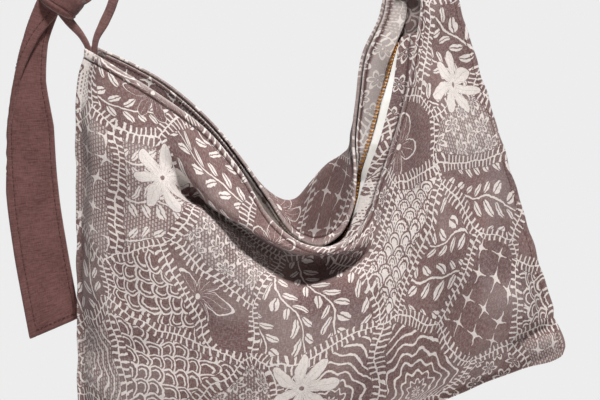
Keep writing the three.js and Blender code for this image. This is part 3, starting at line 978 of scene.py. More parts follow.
@dataclass(frozen=True)
class PlainCanvas:
    """Plain woven canvas with slubs, as on the strap and the loop."""

    name: str
    dark: tuple
    light: tuple
    thread: float = 0.7

    def material(self) -> bpy.types.Material:
        """Writes the cloth's material.

        Returns:
            The material.
        """
        pen = Pen.material(self.name)
        x, y = pen.cloth()
        slub = pen.noise(x * 1.3, y * 0.2, 1.0, 2.0)
        cross = pen.noise(x * 0.16, y * 1.2, 1.0, 2.0, 5.7)
        tone_shift = pen.noise(x, y, 22.0, 3.0, 1.9)
        share = (slub * 0.4 + cross * 0.6 + tone_shift * 0.3 - 0.15).ramp(0.28, 0.72)
        colour = pen.mix(share, self.dark, self.light)
        height = pen.weave(x, y, self.thread) + slub * 0.35 + cross * 0.35
        return pen.surface(
            Base_Color=colour, Roughness=(0.96 - share * 0.08), Normal=pen.bump(height, 0.0003),
            Sheen_Weight=0.22, Sheen_Roughness=0.45, Specular_IOR_Level=0.15,
        )


@dataclass(frozen=True)
class ZipTape:
    """Cream tape woven in fine ribs."""

    name: str = "zip_tape"
    bright: tuple = tone(252, 250, 246)
    soiled: tuple = tone(234, 228, 218)
    rib: float = 1.1

    def material(self) -> bpy.types.Material:
        """Writes the tape's material.

        Returns:
            The material.
        """
        pen = Pen.material(self.name)
        x, y = pen.cloth()
        rib = ((x + y.wave(1.6) * 0.8) * (2 * math.pi / self.rib)).sin() * 0.5 + 0.5
        soil = pen.noise(x, y, 14.0, 3.0)
        colour = pen.mix(rib * 0.35 + soil.ramp(0.35, 0.8) * 0.4, self.bright, self.soiled)
        return pen.surface(
            Base_Color=colour, Roughness=(0.86 + rib * 0.08), Normal=pen.bump(rib, 0.0002),
            Sheen_Weight=0.1, Specular_IOR_Level=0.25,
        )


@dataclass(frozen=True)
class Thread:
    """Twisted sewing thread."""

    name: str
    dark: tuple
    light: tuple
    twist: float = 9000.0

    def material(self) -> bpy.types.Material:
        """Writes the thread's material.

        Returns:
            The material.
        """
        pen = Pen.material(self.name)
        x, y, z = pen.place()
        twist = ((x + y + z) * self.twist).sin() * 0.5 + 0.5
        colour = pen.mix(twist, self.dark, self.light)
        return pen.surface(
            Base_Color=colour, Roughness=(0.75 + twist * 0.1), Normal=pen.bump(twist, 0.00008),
            Specular_IOR_Level=0.3,
        )


@dataclass(frozen=True)
class Brass:
    """Warm brass, rubbed bright in patches."""

    name: str = "brass"
    dull: tuple = tone(150, 96, 44)
    bright: tuple = tone(216, 158, 88)
    rub: float = 3.0

    def material(self) -> bpy.types.Material:
        """Writes the metal's material.

        Returns:
            The material.
        """
        pen = Pen.material(self.name)
        x, y, z = pen.place()
        rub = pen.noise(x * (1 / MM), y * (1 / MM), self.rub, 3.0, z * 330)
        colour = pen.mix(rub.ramp(0.3, 0.7), self.dull, self.bright)
        return pen.surface(
            Base_Color=colour, Metallic=0.85, Roughness=(rub * 0.2 + 0.34), Normal=pen.bump(rub, 0.00005)
        )


@dataclass(frozen=True)
class PaleFloor:
    """Pale matt floor."""

    name: str = "pale_floor"
    grey: tuple = tone(228, 228, 228)
    white: tuple = tone(238, 238, 238)

    def material(self) -> bpy.types.Material:
        """Writes the floor's material.

        Returns:
            The material.
        """
        pen = Pen.material(self.name)
        x, y, _ = pen.place()
        fleck = pen.noise(x, y, 0.02, 3.0)
        colour = pen.mix(fleck, self.grey, self.white)
        return pen.surface(Base_Color=colour, Roughness=(0.7 + fleck * 0.2))


class Slot(Enum):
    """Finishes of the record, each named where a piece is dressed."""

    PRINTED = "printed_canvas"
    PLAIN = "plain_canvas"
    LOOP = "loop_tape"
    TAPE = "zip_tape"
    BRASS = "brass"


class Wardrobe:
    """The finishes, each written once, and the dressing of pieces with them."""

    def __init__(self) -> None:
        """Writes every material."""
        self.printed = PrintedCanvas().material()
        self.plain = PlainCanvas("plain_canvas", tone(84, 54, 52), tone(128, 90, 86)).material()
        self.loop = PlainCanvas("loop_tape", tone(90, 62, 60), tone(138, 103, 99)).material()
        self.tape = ZipTape().material()
        self.brass = Brass().material()
        self.dark_thread = Thread("dark_thread", tone(58, 36, 34), tone(84, 56, 53)).material()
        self.hem_thread = Thread("hem_thread", tone(70, 48, 46), tone(104, 80, 77)).material()

    def dress(
        self, piece: bpy.types.Object, finish: bpy.types.Material, slot: Slot, *nodes: str
    ) -> bpy.types.Object:
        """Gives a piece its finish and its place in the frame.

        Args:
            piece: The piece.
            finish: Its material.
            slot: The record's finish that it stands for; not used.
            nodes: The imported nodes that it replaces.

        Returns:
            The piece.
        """
        piece.data.materials.append(finish)
        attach(piece, "root")
        if nodes:
            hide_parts(*nodes)
        triangles = sum(len(face.vertices) - 2 for face in piece.data.polygons)
        LOG.info("%s: %d triangles", piece.name, triangles)
        return piece


@dataclass
class PanelForm:
    """The outer face of one panel, lofted through ribs from foot to lip."""

    ribs: Array
    side: int

    def ribs_at(self, sections: Array) -> Array:
        """The named rows of the ribs at places between sections."""
        rails = [Spline(self.ribs[:, row]).at(sections) for row in range(self.ribs.shape[1])]
        return np.stack(rails, axis=1)

    def lip(self, sections: Array) -> Array:
        """Points of the lip."""
        return self.ribs_at(sections)[:, -1]

    def lip_frame(self, sections: Array) -> tuple[Array, Array, Array, Array]:
        """The lip, the way along it, the way down the wall and the way out of it.

        Args:
            sections: Places along the mouth.

        Returns:
            The four, with one row for each place.
        """
        ribs = self.ribs_at(sections)
        lip = ribs[:, -1]
        along = unit(self.lip(sections + 0.05) - self.lip(sections - 0.05))
        fall = ribs[:, -2] - lip
        down = unit(fall - along * np.sum(fall * along, axis=1, keepdims=True))
        return lip, along, down, unit(np.cross(along, down)) * self.side


@dataclass
class BodyShape:
    """Sizes that turn the section tables into the two panels.

    Shares count from the lip to the foot. A belly row is a share below the belly's start and a share
    of its depth, and ease is how soon a shallow and a deep belly reach their depth.
    """

    canvas: float = 1.6
    gap: float = 0.3
    seam_flange: float = 5.0
    hem_depth: float = 7.0
    valley_drop: float = 5.5
    sway_share: float = 0.12
    belly_rows: tuple[tuple[float, float], ...] = ((0.84, 0.78), (0.56, 1.0), (0.28, 1.0))
    crest_share: float = 0.26
    crest_depth: float = 0.92
    valley_share: float = 0.17
    nose_share: float = 0.1
    roll_share: float = 0.08
    shallow: float = 10.0
    ease: tuple[float, float] = (0.12, 0.45)

    @property
    def seam_rest(self) -> float:
        """Depth of the outer face at a seam."""
        return self.gap / 2 + self.canvas

    def below(self, lip: FrontRow | BackRow, foot: FootRow, share: float, y: float) -> Array:
        """A point below the lip, at a share of the way to the foot."""
        sway = foot.bow * min(1.0, share / self.sway_share) * (1 - share)
        return np.array([lip.x + (foot.x - lip.x) * share + sway, y, lip.z + (foot.z - lip.z) * share])

    def lower_rows(self, lip: FrontRow | BackRow, foot: FootRow, start: float, side: int) -> list[Array]:
        """Rows of a rib from the foot seam up to the belly.

        Args:
            lip: The section's row of its panel's table.
            foot: The section's row of the foot table.
            start: Share of the way down at which the belly starts.
            side: -1 for the front and 1 for the back.

        Returns:
            Points of the foot, the flange and three places of the belly.
        """
        height = math.hypot(lip.x - foot.x, lip.z - foot.z)
        rows = [np.array([foot.x, side * self.seam_rest, foot.z])]
        rows.append(self.below(lip, foot, 1 - self.seam_flange / height, side * (self.seam_rest + 0.5)))
        for share, depth in self.belly_rows:
            place = start + (1 - start) * share
            rows.append(self.below(lip, foot, place, side * max(lip.belly * depth, self.seam_rest)))
        return rows

    def hem_row(self, lip: Array, next_row: Array) -> Array:
        """The foot of the hem, on the way from the lip to the next row.

        Args:
            lip: The rib's point on the lip.
            next_row: Its next point down.

        Returns:
            The hem's point.
        """
        way = next_row - lip
        reach = np.linalg.norm(way)
        return lip + way / reach * min(self.hem_depth, reach * 0.5)

    def front_rib(self, row: FrontRow, foot: FootRow) -> list[Array]:
        """Rows of one front rib: foot, flange, low, middle, high, crest, valley, nose, hem and lip.

        Args:
            row: The section's row of the front table.
            foot: Its row of the foot table.

        Returns:
            One point for each row.
        """
        lip = np.array([row.x, row.y, row.z])
        height = math.hypot(row.x - foot.x, row.z - foot.z)
        belly = max(row.belly, self.seam_rest)
        ease = self.ease[belly > self.shallow]

        def place(plain: float, folded: float, folded_y: float) -> Array:
            """A row between its plain place and its place in the fold.

            Args:
                plain: Share of the way down where the cloth hangs plain.
                folded: Distance down where it is folded.
                folded_y: Depth where it is folded.

            Returns:
                The row's point.
            """
            share = plain + (folded / height - plain) * row.fold
            bulge = row.y + (-belly - row.y) * math.sin(min(1.0, plain / ease) * math.pi / 2)
            return self.below(row, foot, share, bulge + (folded_y - bulge) * row.fold)

        crest = place(self.crest_share, row.flap + row.gap, -belly * self.crest_depth)
        valley = place(self.valley_share, row.flap + self.valley_drop, -row.valley)
        nose = place(self.nose_share, row.flap, -row.nose)
        start = self.crest_share + ((row.flap + row.gap) / height - self.crest_share) * row.fold
        return [*self.lower_rows(row, foot, start, -1), crest, valley, nose, self.hem_row(lip, nose), lip]

    def back_rib(self, row: BackRow, foot: FootRow) -> list[Array]:
        """Rows of one back rib: foot, flange, low, middle, high, crest, hem and lip.

        Args:
            row: The section's row of the back table.
            foot: Its row of the foot table.

        Returns:
            One point for each row.
        """
        lip = np.array([row.x, row.y, row.z])
        start = -row.roll / math.hypot(row.x - foot.x, row.z - foot.z)
        crest = self.below(row, foot, start, max(row.crest, self.seam_rest))
        lower = self.lower_rows(row, foot, max(start, self.roll_share), 1)
        return [*lower, crest, self.hem_row(lip, crest), lip]

    def front(self) -> PanelForm:
        """The front panel's form."""
        return PanelForm(np.array([self.front_rib(row, foot) for row, foot in zip(FRONT, FOOT)]), -1)

    def back(self) -> PanelForm:
        """The back panel's form."""
        return PanelForm(np.array([self.back_rib(row, foot) for row, foot in zip(BACK, FOOT)]), 1)


@dataclass
class Panel:
    """One cloth panel of the body, with its hem, seams, folds and topstitching.

    notch is the height at which the right edge is dented, and the dent's width and depth. The painted
    shade inside the mouth has a depth and a start, measured from the lip, and rises and falls along it.
    """

    name: str
    form: PanelForm
    folds: Sequence[Fold]
    rumple: Rumple
    canvas: float = 1.6
    hem_thickness: float = 2.6
    hem_stitch: float = 7.6
    seam_stitch: float = 4.6
    corner: float = 6.5
    # Paler hem edge: rub and painted highlight.
    hem_rub_and_painted_highlight: float = 0.8
    mouth_shade: float = 0.0
    shade_depth: tuple[float, float] = (95, 55)
    shade_start: tuple[float, float] = (7, 12)
    shade_rise: tuple[float, float] = (7.4, 8.6)
    shade_fall: tuple[float, float] = (14.5, 13.0)
    puff: float = 0.6
    pucker: float = 0.22
    pucker_length: float = 6.1
    hem_dent: float = 1.1
    seam_dent: float = 0.35
    waver_depth: float = 9.0
    notch: tuple[float, float, float] = (-549, 4, 2.0)
    foot_band: float = 9.0
    hem_band: float = 12.0
    seam_columns: int = 6
    body_columns: int = 10
    foot_rows: int = 10
    body_rows: int = 120
    hem_rows: int = 22
    density: int = 40
    grid: ClothGrid = field(init=False)
    from_lip: Array = field(init=False)

    def _columns(self) -> Array:
        """Places of the mesh columns, closer together at the side seams.

        Returns:
            Places counted in sections.
        """
        last = len(FOOT) - 1
        fine = self.seam_columns
        counts = [fine, fine, *[self.body_columns] * (last - 4), fine, fine + 1]
        spans = [np.linspace(k, k + 1, count + 1)[:-1] for k, count in enumerate(counts)]
        return np.concatenate([*spans, [float(last)]])

    def _rows(self, length: float) -> Array:
        """Distances of the mesh rows from the foot, closer together at the foot and the hem.

        Args:
            length: Length of the rib.

        Returns:
            One distance for each row.
        """
        foot = np.linspace(0, self.foot_band, self.foot_rows, endpoint=False)
        body = np.linspace(self.foot_band, length - self.hem_band, self.body_rows, endpoint=False)
        return np.concatenate([foot, body, np.linspace(length - self.hem_band, length, self.hem_rows)])

    def shape(self) -> None:
        """Lays the cloth on the panel's form and adds its hem, seams and folds."""
        sections = self._columns()
        ribs = self.form.ribs_at(sections)
        spans = ribs.shape[1] - 1
        places = np.linspace(0, spans, spans * self.density + 1)
        columns, heights, lips = [], [], []
        for rib in ribs:
            dense = Spline(rib).at(places)
            length = lengths_along(dense)[-1]
            rows = self._rows(length)
            columns.append(resample(dense, rows))
            heights.append(rows)
            lips.append(length - rows)
        v = np.array(heights)
        self.from_lip = np.array(lips)
        points = self._trim(np.array(columns), v)
        middle = points[:, self.foot_rows + self.body_rows // 3]
        u = np.repeat(lengths_along(middle)[:, None], points.shape[1], axis=1)
        thickness = self.canvas + (self.hem_thickness - self.canvas) * smooth(self.from_lip, 8.2, 6.6)
        flat = np.stack([u, v], axis=-1)
        self.grid = ClothGrid(points, thickness, flat, proud=0.0, side=-self.form.side, reverse=0.5)
        rise = self._relief(points, u, v)
        self.grid.points = points + self.grid.normals() * rise[..., None]
        self.grid.wear_and_painted_shading = self._wear_and_painted_shading(sections, rise)

    def _wear_and_painted_shading(self, sections: Array, rise: Array) -> Array:
        """Where rub and painted highlight make the cloth pale, above 0, and painted shade darkens it, below
        0.

        Args:
            sections: Place of each column along the mouth.
            rise: How far each point stands out of the smooth form.

        Returns:
            One value for each point.
        """
        away = self.from_lip
        # Rub and painted highlight on the hem's edge and roll, painted shade in its stitched groove.
        edge = bell(away, 0.0, 1.6)
        stitch = bell(away, self.hem_stitch, 1.1)
        # Fold ridges paler from rub and painted highlight, dents darker from painted shade.
        rub_and_painted_shading = 0.3 * np.tanh(rise / 2.0) * smooth(away, 8, 14)
        # Painted shade inside the mouth.
        near = window(sections, self.shade_rise, self.shade_fall)[:, None]
        shade = self.mouth_shade * window(away, self.shade_depth, self.shade_start) * near
        return self.hem_rub_and_painted_highlight * edge + 0.25 * smooth(away, 6.2, 3.0) - stitch + rub_and_painted_shading - shade

    @staticmethod
    def _waver(place: Array, height: float, short: float, long: float, shift: float) -> Array:
        """An uneven edge: a short wave that swells and fades along a long one."""
        return height * np.sin(place / short) * np.sin(place / long + shift)

    def _trim(self, points: Array, v: Array) -> Array:
        """Rounds the right foot corner and lets the sewn edges waver.

        Args:
            points: The panel's grid.
            v: Distance of each point from the foot.

        Returns:
            The grid with its new edges.
        """
        steps = np.linalg.norm(np.diff(points, axis=0), axis=-1)
        from_left = np.concatenate([np.zeros((1, v.shape[1])), np.cumsum(steps, axis=0)])
        from_right = from_left[-1:] - from_left
        right = unit(np.gradient(points, axis=0))
        up = unit(np.gradient(points, axis=1))
        a, b = np.clip(self.corner - from_right, 0, None), np.clip(self.corner - v, 0, None)
        shrink = 1 - np.maximum(a, b) / np.maximum(np.hypot(a, b), 1e-9)
        moved = points - right * (a * shrink)[..., None] + up * (b * shrink)[..., None]
        x, z = points[..., 0], points[..., 2]
        notch_z, notch_width, notch_depth = self.notch
        notch = notch_depth * bell(z, notch_z, notch_width)
        for way, away, ripple in (
            (right, from_right, self._waver(z, height=0.8, short=5.1, long=23.0, shift=1.0) - notch),
            (-right, from_left, self._waver(z, height=0.7, short=6.3, long=29.0, shift=0.0)),
            (-up, v, self._waver(x, height=0.8, short=7.3, long=31.0, shift=0.5)),
        ):
            moved = moved + way * (ripple * np.exp(-away / self.waver_depth))[..., None]
        return moved

    def _relief(self, points: Array, u: Array, v: Array) -> Array:
        """How far the cloth stands out of its smooth form, in millimetres.

        Args:
            points: The panel's grid.
            u: Flat place across the cloth.
            v: Flat place up it.

        Returns:
            One rise for each point.
        """
        from_side = np.minimum(u, u[-1:] - u)
        quiet = smooth(self.from_lip, 8, 30) * smooth(from_side, 1, 12) * smooth(v, 2, 12)
        rise = self.rumple.at(u, v) * quiet
        for fold in self.folds:
            rise += self._fold(points, fold) * quiet
        stitch = bell(self.from_lip, self.hem_stitch, 0.8)
        puff = np.sin(np.clip(self.from_lip / self.hem_stitch, 0, 1) * math.pi) ** 0.8
        pucker = np.sin(u * 2 * math.pi / self.pucker_length) * bell(self.from_lip, self.hem_stitch, 4.5)
        rise += self.puff * puff - self.hem_dent * stitch + self.pucker * pucker
        seam, foot = (bell(away, self.seam_stitch, 0.9) for away in (from_side, v))
        return rise - self.seam_dent * np.maximum(seam, foot)

    @staticmethod
    def _fold(points: Array, fold: Fold) -> Array:
        """The rise of one fold at each point.

        Args:
            points: The panel's grid.
            fold: The fold.

        Returns:
            One rise for each point.
        """
        x, z = points[..., 0], points[..., 2]
        way = np.array([fold.x1 - fold.x0, fold.z1 - fold.z0])
        length = np.linalg.norm(way)
        along = ((x - fold.x0) * way[0] + (z - fold.z0) * way[1]) / length**2
        aside = ((x - fold.x0) * way[1] - (z - fold.z0) * way[0]) / length
        taper = np.sin(np.clip(along, 0, 1) * math.pi) ** 0.7
        return fold.height * bell(aside, 0.0, fold.width) * taper

    def hem_line(self) -> tuple[Array, Array]:
        """The hem's sewn line on the outer face, and the way out of the cloth.

        Returns:
            Points of the line, and the way out of the cloth at each.
        """
        columns = np.arange(self.grid.points.shape[0], dtype=float)
        rows = [np.interp(-self.hem_stitch, -away, np.arange(len(away))) for away in self.from_lip]
        return self.grid.line(columns, np.array(rows), 1)

    def seam_line(self) -> tuple[Array, Array]:
        """The sewn line up the right side, ending near the foot corner.

        Returns:
            Points of the line, and the way out of the cloth at each.
        """
        u = self.grid.flat[:, 0, 0]
        column = np.interp(u[-1] - self.seam_stitch, u, np.arange(len(u)))
        rows = np.arange(self.foot_rows // 2, self.grid.points.shape[1] - self.hem_rows, dtype=float)
        return self.grid.line(np.full(len(rows), column), rows, 1)

    def build(self, wardrobe: Wardrobe) -> bpy.types.Object:
        """Makes the panel and its stitching.

        Args:
            wardrobe: The finishes.

        Returns:
            The panel's cloth.
        """
        self.shape()
        cloth = self.grid.build(f"{self.name}_cloth")
        wardrobe.dress(cloth, wardrobe.printed, Slot.PRINTED, self.name)
        sewn = Stitching()
        sewn.sew(*self.hem_line(), Seam.TOPSTITCH)
        sewn.sew(*self.seam_line(), Seam.TOPSTITCH)
        thread = wardrobe.dress(sewn.build(f"{self.name}_stitching"), wardrobe.hem_thread, Slot.PRINTED)
        return cloth


class MouthSide(Enum):
    """The two sides of the mouth, as numbers that point away from its middle."""

    FRONT = -1
    BACK = 1


@dataclass
class Mouth:
    """Facings, tapes and teeth that hang inside the mouth.

    Places along the mouth are counted in sections. From gather at the left and close at the right
    the two sides run together. slack widens the front facing, tuck draws the tape in behind it and
    lift raises the hidden part of the back facing, each between its rise and its fall.
    """

    front: PanelForm
    back: PanelForm
    facing_width: float = 17.0
    facing_thickness: float = 1.0
    facing_start: float = 2.0
    front_stitch: float = 7.6
    back_stitch: float = 4.0
    tape_width: float = 8.0
    tape_thickness: float = 0.8
    tape_lap: float = 2.5
    teeth_width: float = 3.4
    teeth_thickness: float = 2.2
    teeth_gap: float = 1.3
    tooth_pitch: float = 3.0
    tooth_inset: float = 1.2
    layer_gap: float = 1.3
    under_hem: float = 4.05
    start: float = 2.8
    end: float = 15.6
    gather: float = 1.3
    close: float = 14.0
    meet: float = 16.3
    rest: float = 3.0
    facing_ends: tuple[float, float] = (2.2, 16.4)
    slack: float = 7.6
    slack_rise: tuple[float, float] = (8.6, 9.8)
    slack_fall: tuple[float, float] = (13.2, 11.5)
    tuck: float = 4.0
    tuck_fall: tuple[float, float] = (12.2, 11.5)
    lift: float = 10.0
    lift_rise: tuple[float, float] = (9.2, 10.4)
    lift_fall: tuple[float, float] = (12.8, 12.0)
    # Sections over which the back facing turns paler: painted light.
    painted_light_rise: tuple[float, float] = (9.5, 12.5)
    steps: int = 300
    facing_rows: int = 18
    tape_rows: int = 9

    def _free(self, side: MouthSide, sections: Array) -> tuple[Array, Array, Array]:
        """Where the strips start, the way they reach, and their under side.

        Args:
            side: Which side of the mouth.
            sections: Places along the mouth.

        Returns:
            The three, with one row for each place.
        """
        panel, other = (self.front, self.back) if side is MouthSide.FRONT else (self.back, self.front)
        lip, along, down, out = panel.lip_frame(sections)
        numbers = np.arange(len(DROP))
        if side is MouthSide.FRONT:
            drop = np.radians(np.interp(sections, numbers, [row.front for row in DROP]))[:, None]
            aim = other.lip(sections)
            aim[:, 1] += np.interp(sections, numbers, [row.behind for row in DROP])
            way = unit(aim - lip)
            inwards = np.tile([0.0, 0.0, -1.0], (len(sections), 1))
        else:
            drop = np.radians(np.interp(sections, numbers, [row.back for row in DROP]))[:, None]
            way, inwards = down, -out
            lift = self.lift * window(sections, self.lift_rise, self.lift_fall)
            lip = lip + down * lift[:, None]
        reach = unit(way * np.cos(drop) + inwards * np.sin(drop))
        under = unit(np.cross(reach, along)) * -panel.side
        return lip - out * self.under_hem + down * self.facing_start, reach, under

    def line(self, side: MouthSide, sections: Array, distance: float, height: float) -> Array:
        """A line of a strip.

        Args:
            side: Which side of the mouth.
            sections: Places along the mouth.
            distance: How far from the lip.
            height: How far towards the strip's under side.

        Returns:
            One point for each section.
        """
        other = MouthSide.BACK if side is MouthSide.FRONT else MouthSide.FRONT
        start, reach, under = self._free(side, sections)
        there, far_reach, _ = self._free(other, sections)
        span = np.full((len(sections), 1), distance - self.facing_start)
        if side is MouthSide.FRONT:
            slack = self.slack * window(sections, self.slack_rise, self.slack_fall)
            tuck = self.tuck * window(sections, self.lift_rise, self.tuck_fall)
            past = np.clip(span / self.facing_width - 1, 0, 0.5) * 2
            span = span + slack[:, None] * np.clip(span / self.facing_width, 0, 1) - tuck[:, None] * past
        own = start + reach * span
        middle = (own + there + far_reach * span) / 2 + under * height
        middle[:, 1] += side.value * self.rest
        left = 1 - (sections - self.start) / self.gather
        right = (sections - self.close) / (self.meet - self.close)
        share = np.clip(span / self.facing_width, 0, 1) * np.clip(np.maximum(left, right), 0, 1)[:, None]
        return (own + under * height) * (1 - share) + middle * share

    def strip(
        self, side: MouthSide, ends: tuple[float, float], distances: Array, height: float, thickness: float,
    ) -> ClothGrid:
        """A strip of cloth between two sections, and between the first and the last distance.

        Args:
            side: Which side of the mouth.
            ends: The first and the last section.
            distances: Distances of the strip's rows from the lip.
            height: Where the strip lies, towards its under side.
            thickness: Thickness of the cloth.

        Returns:
            The strip's grid.
        """
        sections = np.linspace(*ends, self.steps)
        lines = [self.line(side, sections, distance, height + thickness / 2) for distance in distances]
        points = np.stack(lines, axis=1)
        u = np.repeat(lengths_along(points[:, 0])[:, None], len(distances), axis=1)
        v = np.repeat(np.asarray(distances)[None, :], self.steps, axis=0)
        # Painted shade along the facing's sewn line.
        seam = bell(v, self.stitch(side), 1.2)
        # Rub along the folded edge at the lip.
        rub_and_painted_shading = 0.7 * bell(v, self.facing_start, 1.0)
        # Painted light: the back facing is made paler towards the right end of the mouth.
        if side is MouthSide.BACK:
            rub_and_painted_shading = rub_and_painted_shading + smooth(sections, *self.painted_light_rise)[:, None]
        wear_and_painted_shading = rub_and_painted_shading * (1 - seam) - seam
        flat = np.stack([u, v], axis=-1)
        return ClothGrid(points, np.full(u.shape, thickness), flat, wear_and_painted_shading=wear_and_painted_shading, reverse=0.0)

    @property
    def facing_edge(self) -> float:
        """Distance of the facing's free edge from the lip."""
        return self.facing_start + self.facing_width

    @property
    def tape_edge(self) -> float:
        """Distance of the tape's free edge from the lip."""
        return self.facing_edge + self.tape_width

    def stitch(self, side: MouthSide) -> float:
        """Distance of a facing's sewn line from the lip."""
        return self.front_stitch if side is MouthSide.FRONT else self.back_stitch

    def facing_line(self, side: MouthSide, sections: Array) -> tuple[Array, Array]:
        """The sewn line on the side of a facing that shows, and the way out of the cloth.

        Args:
            side: Which side of the mouth.
            sections: Places along the mouth.

        Returns:
            Points of the line, and the way out of the cloth at each.
        """
        low = self.line(side, sections, self.stitch(side), 0.0)
        deep = self.line(side, sections, self.stitch(side), 1.0)
        return low, unit(low - deep)

    def _tooth(self) -> tuple[Array, list[list[int]]]:
        """One tooth: a waisted head on a clamped foot, softened on both faces.

        Returns:
            Its points and faces.
        """
        half = self.teeth_thickness / 2
        outline = np.array([
            (-1.0, 0.0), (1.0, 0.0), (1.0, 1.1), (0.62, 1.6), (0.95, 2.4), (0.6, self.teeth_width),
            (-0.6, self.teeth_width), (-0.95, 2.4), (-0.62, 1.6), (-1.0, 1.1),
        ])
        layers = ((-half, 0.72), (-half * 0.7, 1.0), (half * 0.7, 1.0), (half, 0.72))
        centre = outline.mean(axis=0)
        points = []
        for height, share in layers:
            scaled = centre + (outline - centre) * share
            points.extend((x, y, height) for x, y in scaled)
        return np.array(points), tube_faces(len(layers), len(outline))

    def teeth(self, side: MouthSide, name: str) -> bpy.types.Object:
        """Sets a row of teeth along the free edge of a tape.

        Args:
            side: Which side of the mouth.
            name: The new object's name.

        Returns:
            The row of teeth.
        """
        sections = np.linspace(self.start, self.end, self.steps)
        height = self.facing_thickness + self.layer_gap + self.tape_thickness / 2
        foot = self.line(side, sections, self.tape_edge + self.teeth_gap, height)
        tip = self.line(side, sections, self.tape_edge + self.teeth_gap + self.teeth_width, height)
        under = self.line(side, sections, self.tape_edge + self.teeth_gap, height + 1)
        place = lengths_along(foot)
        shift = 0.0 if side is MouthSide.FRONT else self.tooth_pitch / 2
        spots = np.arange(self.tooth_inset + shift, place[-1] - self.tooth_inset, self.tooth_pitch)
        foot, tip, under = (rows_at(line, place, spots) for line in (foot, tip, under))
        reach = unit(tip - foot)
        lift = under - foot
        lift = unit(lift - reach * np.sum(lift * reach, axis=1, keepdims=True))
        along = np.cross(reach, lift)
        shape, shape_faces = self._tooth()
        points, faces = [], []
        for k in range(len(spots)):
            basis = np.stack([along[k], reach[k], lift[k]])
            points.append(foot[k] + shape @ basis)
            faces.extend(shifted(shape_faces, k * len(shape)))
        return make_object(name, np.concatenate(points), faces)

    def build(self, wardrobe: Wardrobe) -> None:
        """Makes the facings, tapes and teeth of both sides.

        Args:
            wardrobe: The finishes.
        """
        zip_ends = (self.start, self.end)
        facing_rows = np.linspace(self.facing_edge, self.facing_start, self.facing_rows)
        tape_rows = np.linspace(self.tape_edge, self.facing_edge - self.tape_lap, self.tape_rows)
        tape_height = self.facing_thickness + self.layer_gap
        for side, facing_ends in ((MouthSide.FRONT, zip_ends), (MouthSide.BACK, self.facing_ends)):
            name = side.name.lower()
            facing = self.strip(side, facing_ends, facing_rows, 0.0, self.facing_thickness)
            cloth = wardrobe.dress(
                facing.build(f"{name}_facing_cloth"), wardrobe.printed, Slot.PRINTED, f"{name}_facing"
            )
            tape = self.strip(side, zip_ends, tape_rows, tape_height, self.tape_thickness)
            woven = wardrobe.dress(
                tape.build(f"zip_tape_{name}_cloth"), wardrobe.tape, Slot.TAPE, f"zip_tape_{name}"
            )
            sewn = Stitching()
            sewn.sew(*self.facing_line(side, np.linspace(*facing_ends, self.steps)), Seam.TOPSTITCH)
            wardrobe.dress(sewn.build(f"{name}_facing_stitching"), wardrobe.hem_thread, Slot.PRINTED)
            row = self.teeth(side, f"zip_teeth_{name}_row")
            wardrobe.dress(row, wardrobe.brass, Slot.BRASS, f"zip_teeth_{name}")


@dataclass
class ZipSlider:
    """The zip's slider: two plates, a wedge, a bridge and a flat pull with a hole.

    bridge is the width and the thickness of the rod that holds the pull.
    """

    node: str = "zip_slider"
    body: float = 6.0
    plate: float = 1.4
    bridge: tuple[float, float] = (1.8, 1.2)
    post: float = 2.2
    pull_width: float = 6.0
    pull_thickness: float = 1.3

    @staticmethod
    def _block(mesh: bmesh.types.BMesh, size: Sequence[float], centre: Sequence[float], bevel: float) -> None:
        """Adds one softened block, in metres.

        Args:
            mesh: The mesh that takes it.
            size: Its three sizes.
            centre: Its middle.
            bevel: How far its edges are cut back.
        """
        made = bmesh.ops.create_cube(mesh, size=1.0)["verts"]
        bmesh.ops.scale(mesh, vec=Vector(size), verts=made)
        bmesh.ops.translate(mesh, vec=Vector(centre), verts=made)
        edges = list(dict.fromkeys(edge for vertex in made for edge in vertex.link_edges))
        bmesh.ops.bevel(mesh, geom=edges, offset=bevel, segments=2, affect="EDGES", profile=0.5)

    def build(self, wardrobe: Wardrobe) -> bpy.types.Object:
        """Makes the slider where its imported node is.

        Args:
            wardrobe: The finishes.

        Returns:
            The slider.
        """
        low, high = (np.array(corner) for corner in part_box(self.node))
        x, y, _ = (low + high) / 2
        length, width, _ = high - low
        foot, top = low[2], high[2]
        body, plate, post = self.body * MM, self.plate * MM, self.post * MM
        rod_width, rod = (size * MM for size in self.bridge)
        thick, wide = self.pull_thickness * MM, self.pull_width * MM
        bridge = top - body - rod
        reach = bridge - foot
        plates = (top - plate / 2, top - body + plate / 2)
        webs = ((foot + reach * 0.16, 0.32), (foot + reach * 0.62, 0.12), (bridge - thick * 0.2, 0.12))
        core = (length * 0.36, width * 0.3, body - plate * 1.2)
        posts, rails = ([x + end * size for end in (-1, 1)] for size in (length * 0.3, wide * 0.37))
        blocks = [
            *(((length, width * 0.92, plate), (x, y, z), plate * 0.3) for z in plates),
            (core, (x, y, top - body / 2), plate * 0.2),
            ((length * 0.7, rod_width, rod), (x, y, bridge), 0.3 * MM),
            *(((rod, rod_width, post), (at, y, bridge + 0.9 * MM), 0.25 * MM) for at in posts),
            *(((wide * 0.26, thick, reach), (at, y, foot + reach / 2), thick * 0.25) for at in rails),
            *(((wide * 0.6, thick * 0.98, reach * share), (x, y, z), thick * 0.2) for z, share in webs),
        ]
        mesh = bmesh.new()
        for size, centre, bevel in blocks:
            self._block(mesh, size, centre, bevel)
        data = bpy.data.meshes.new("zip_slider_body")
        mesh.to_mesh(data)
        mesh.free()
        return wardrobe.dress(put("zip_slider_body", data), wardrobe.brass, Slot.BRASS, self.node)


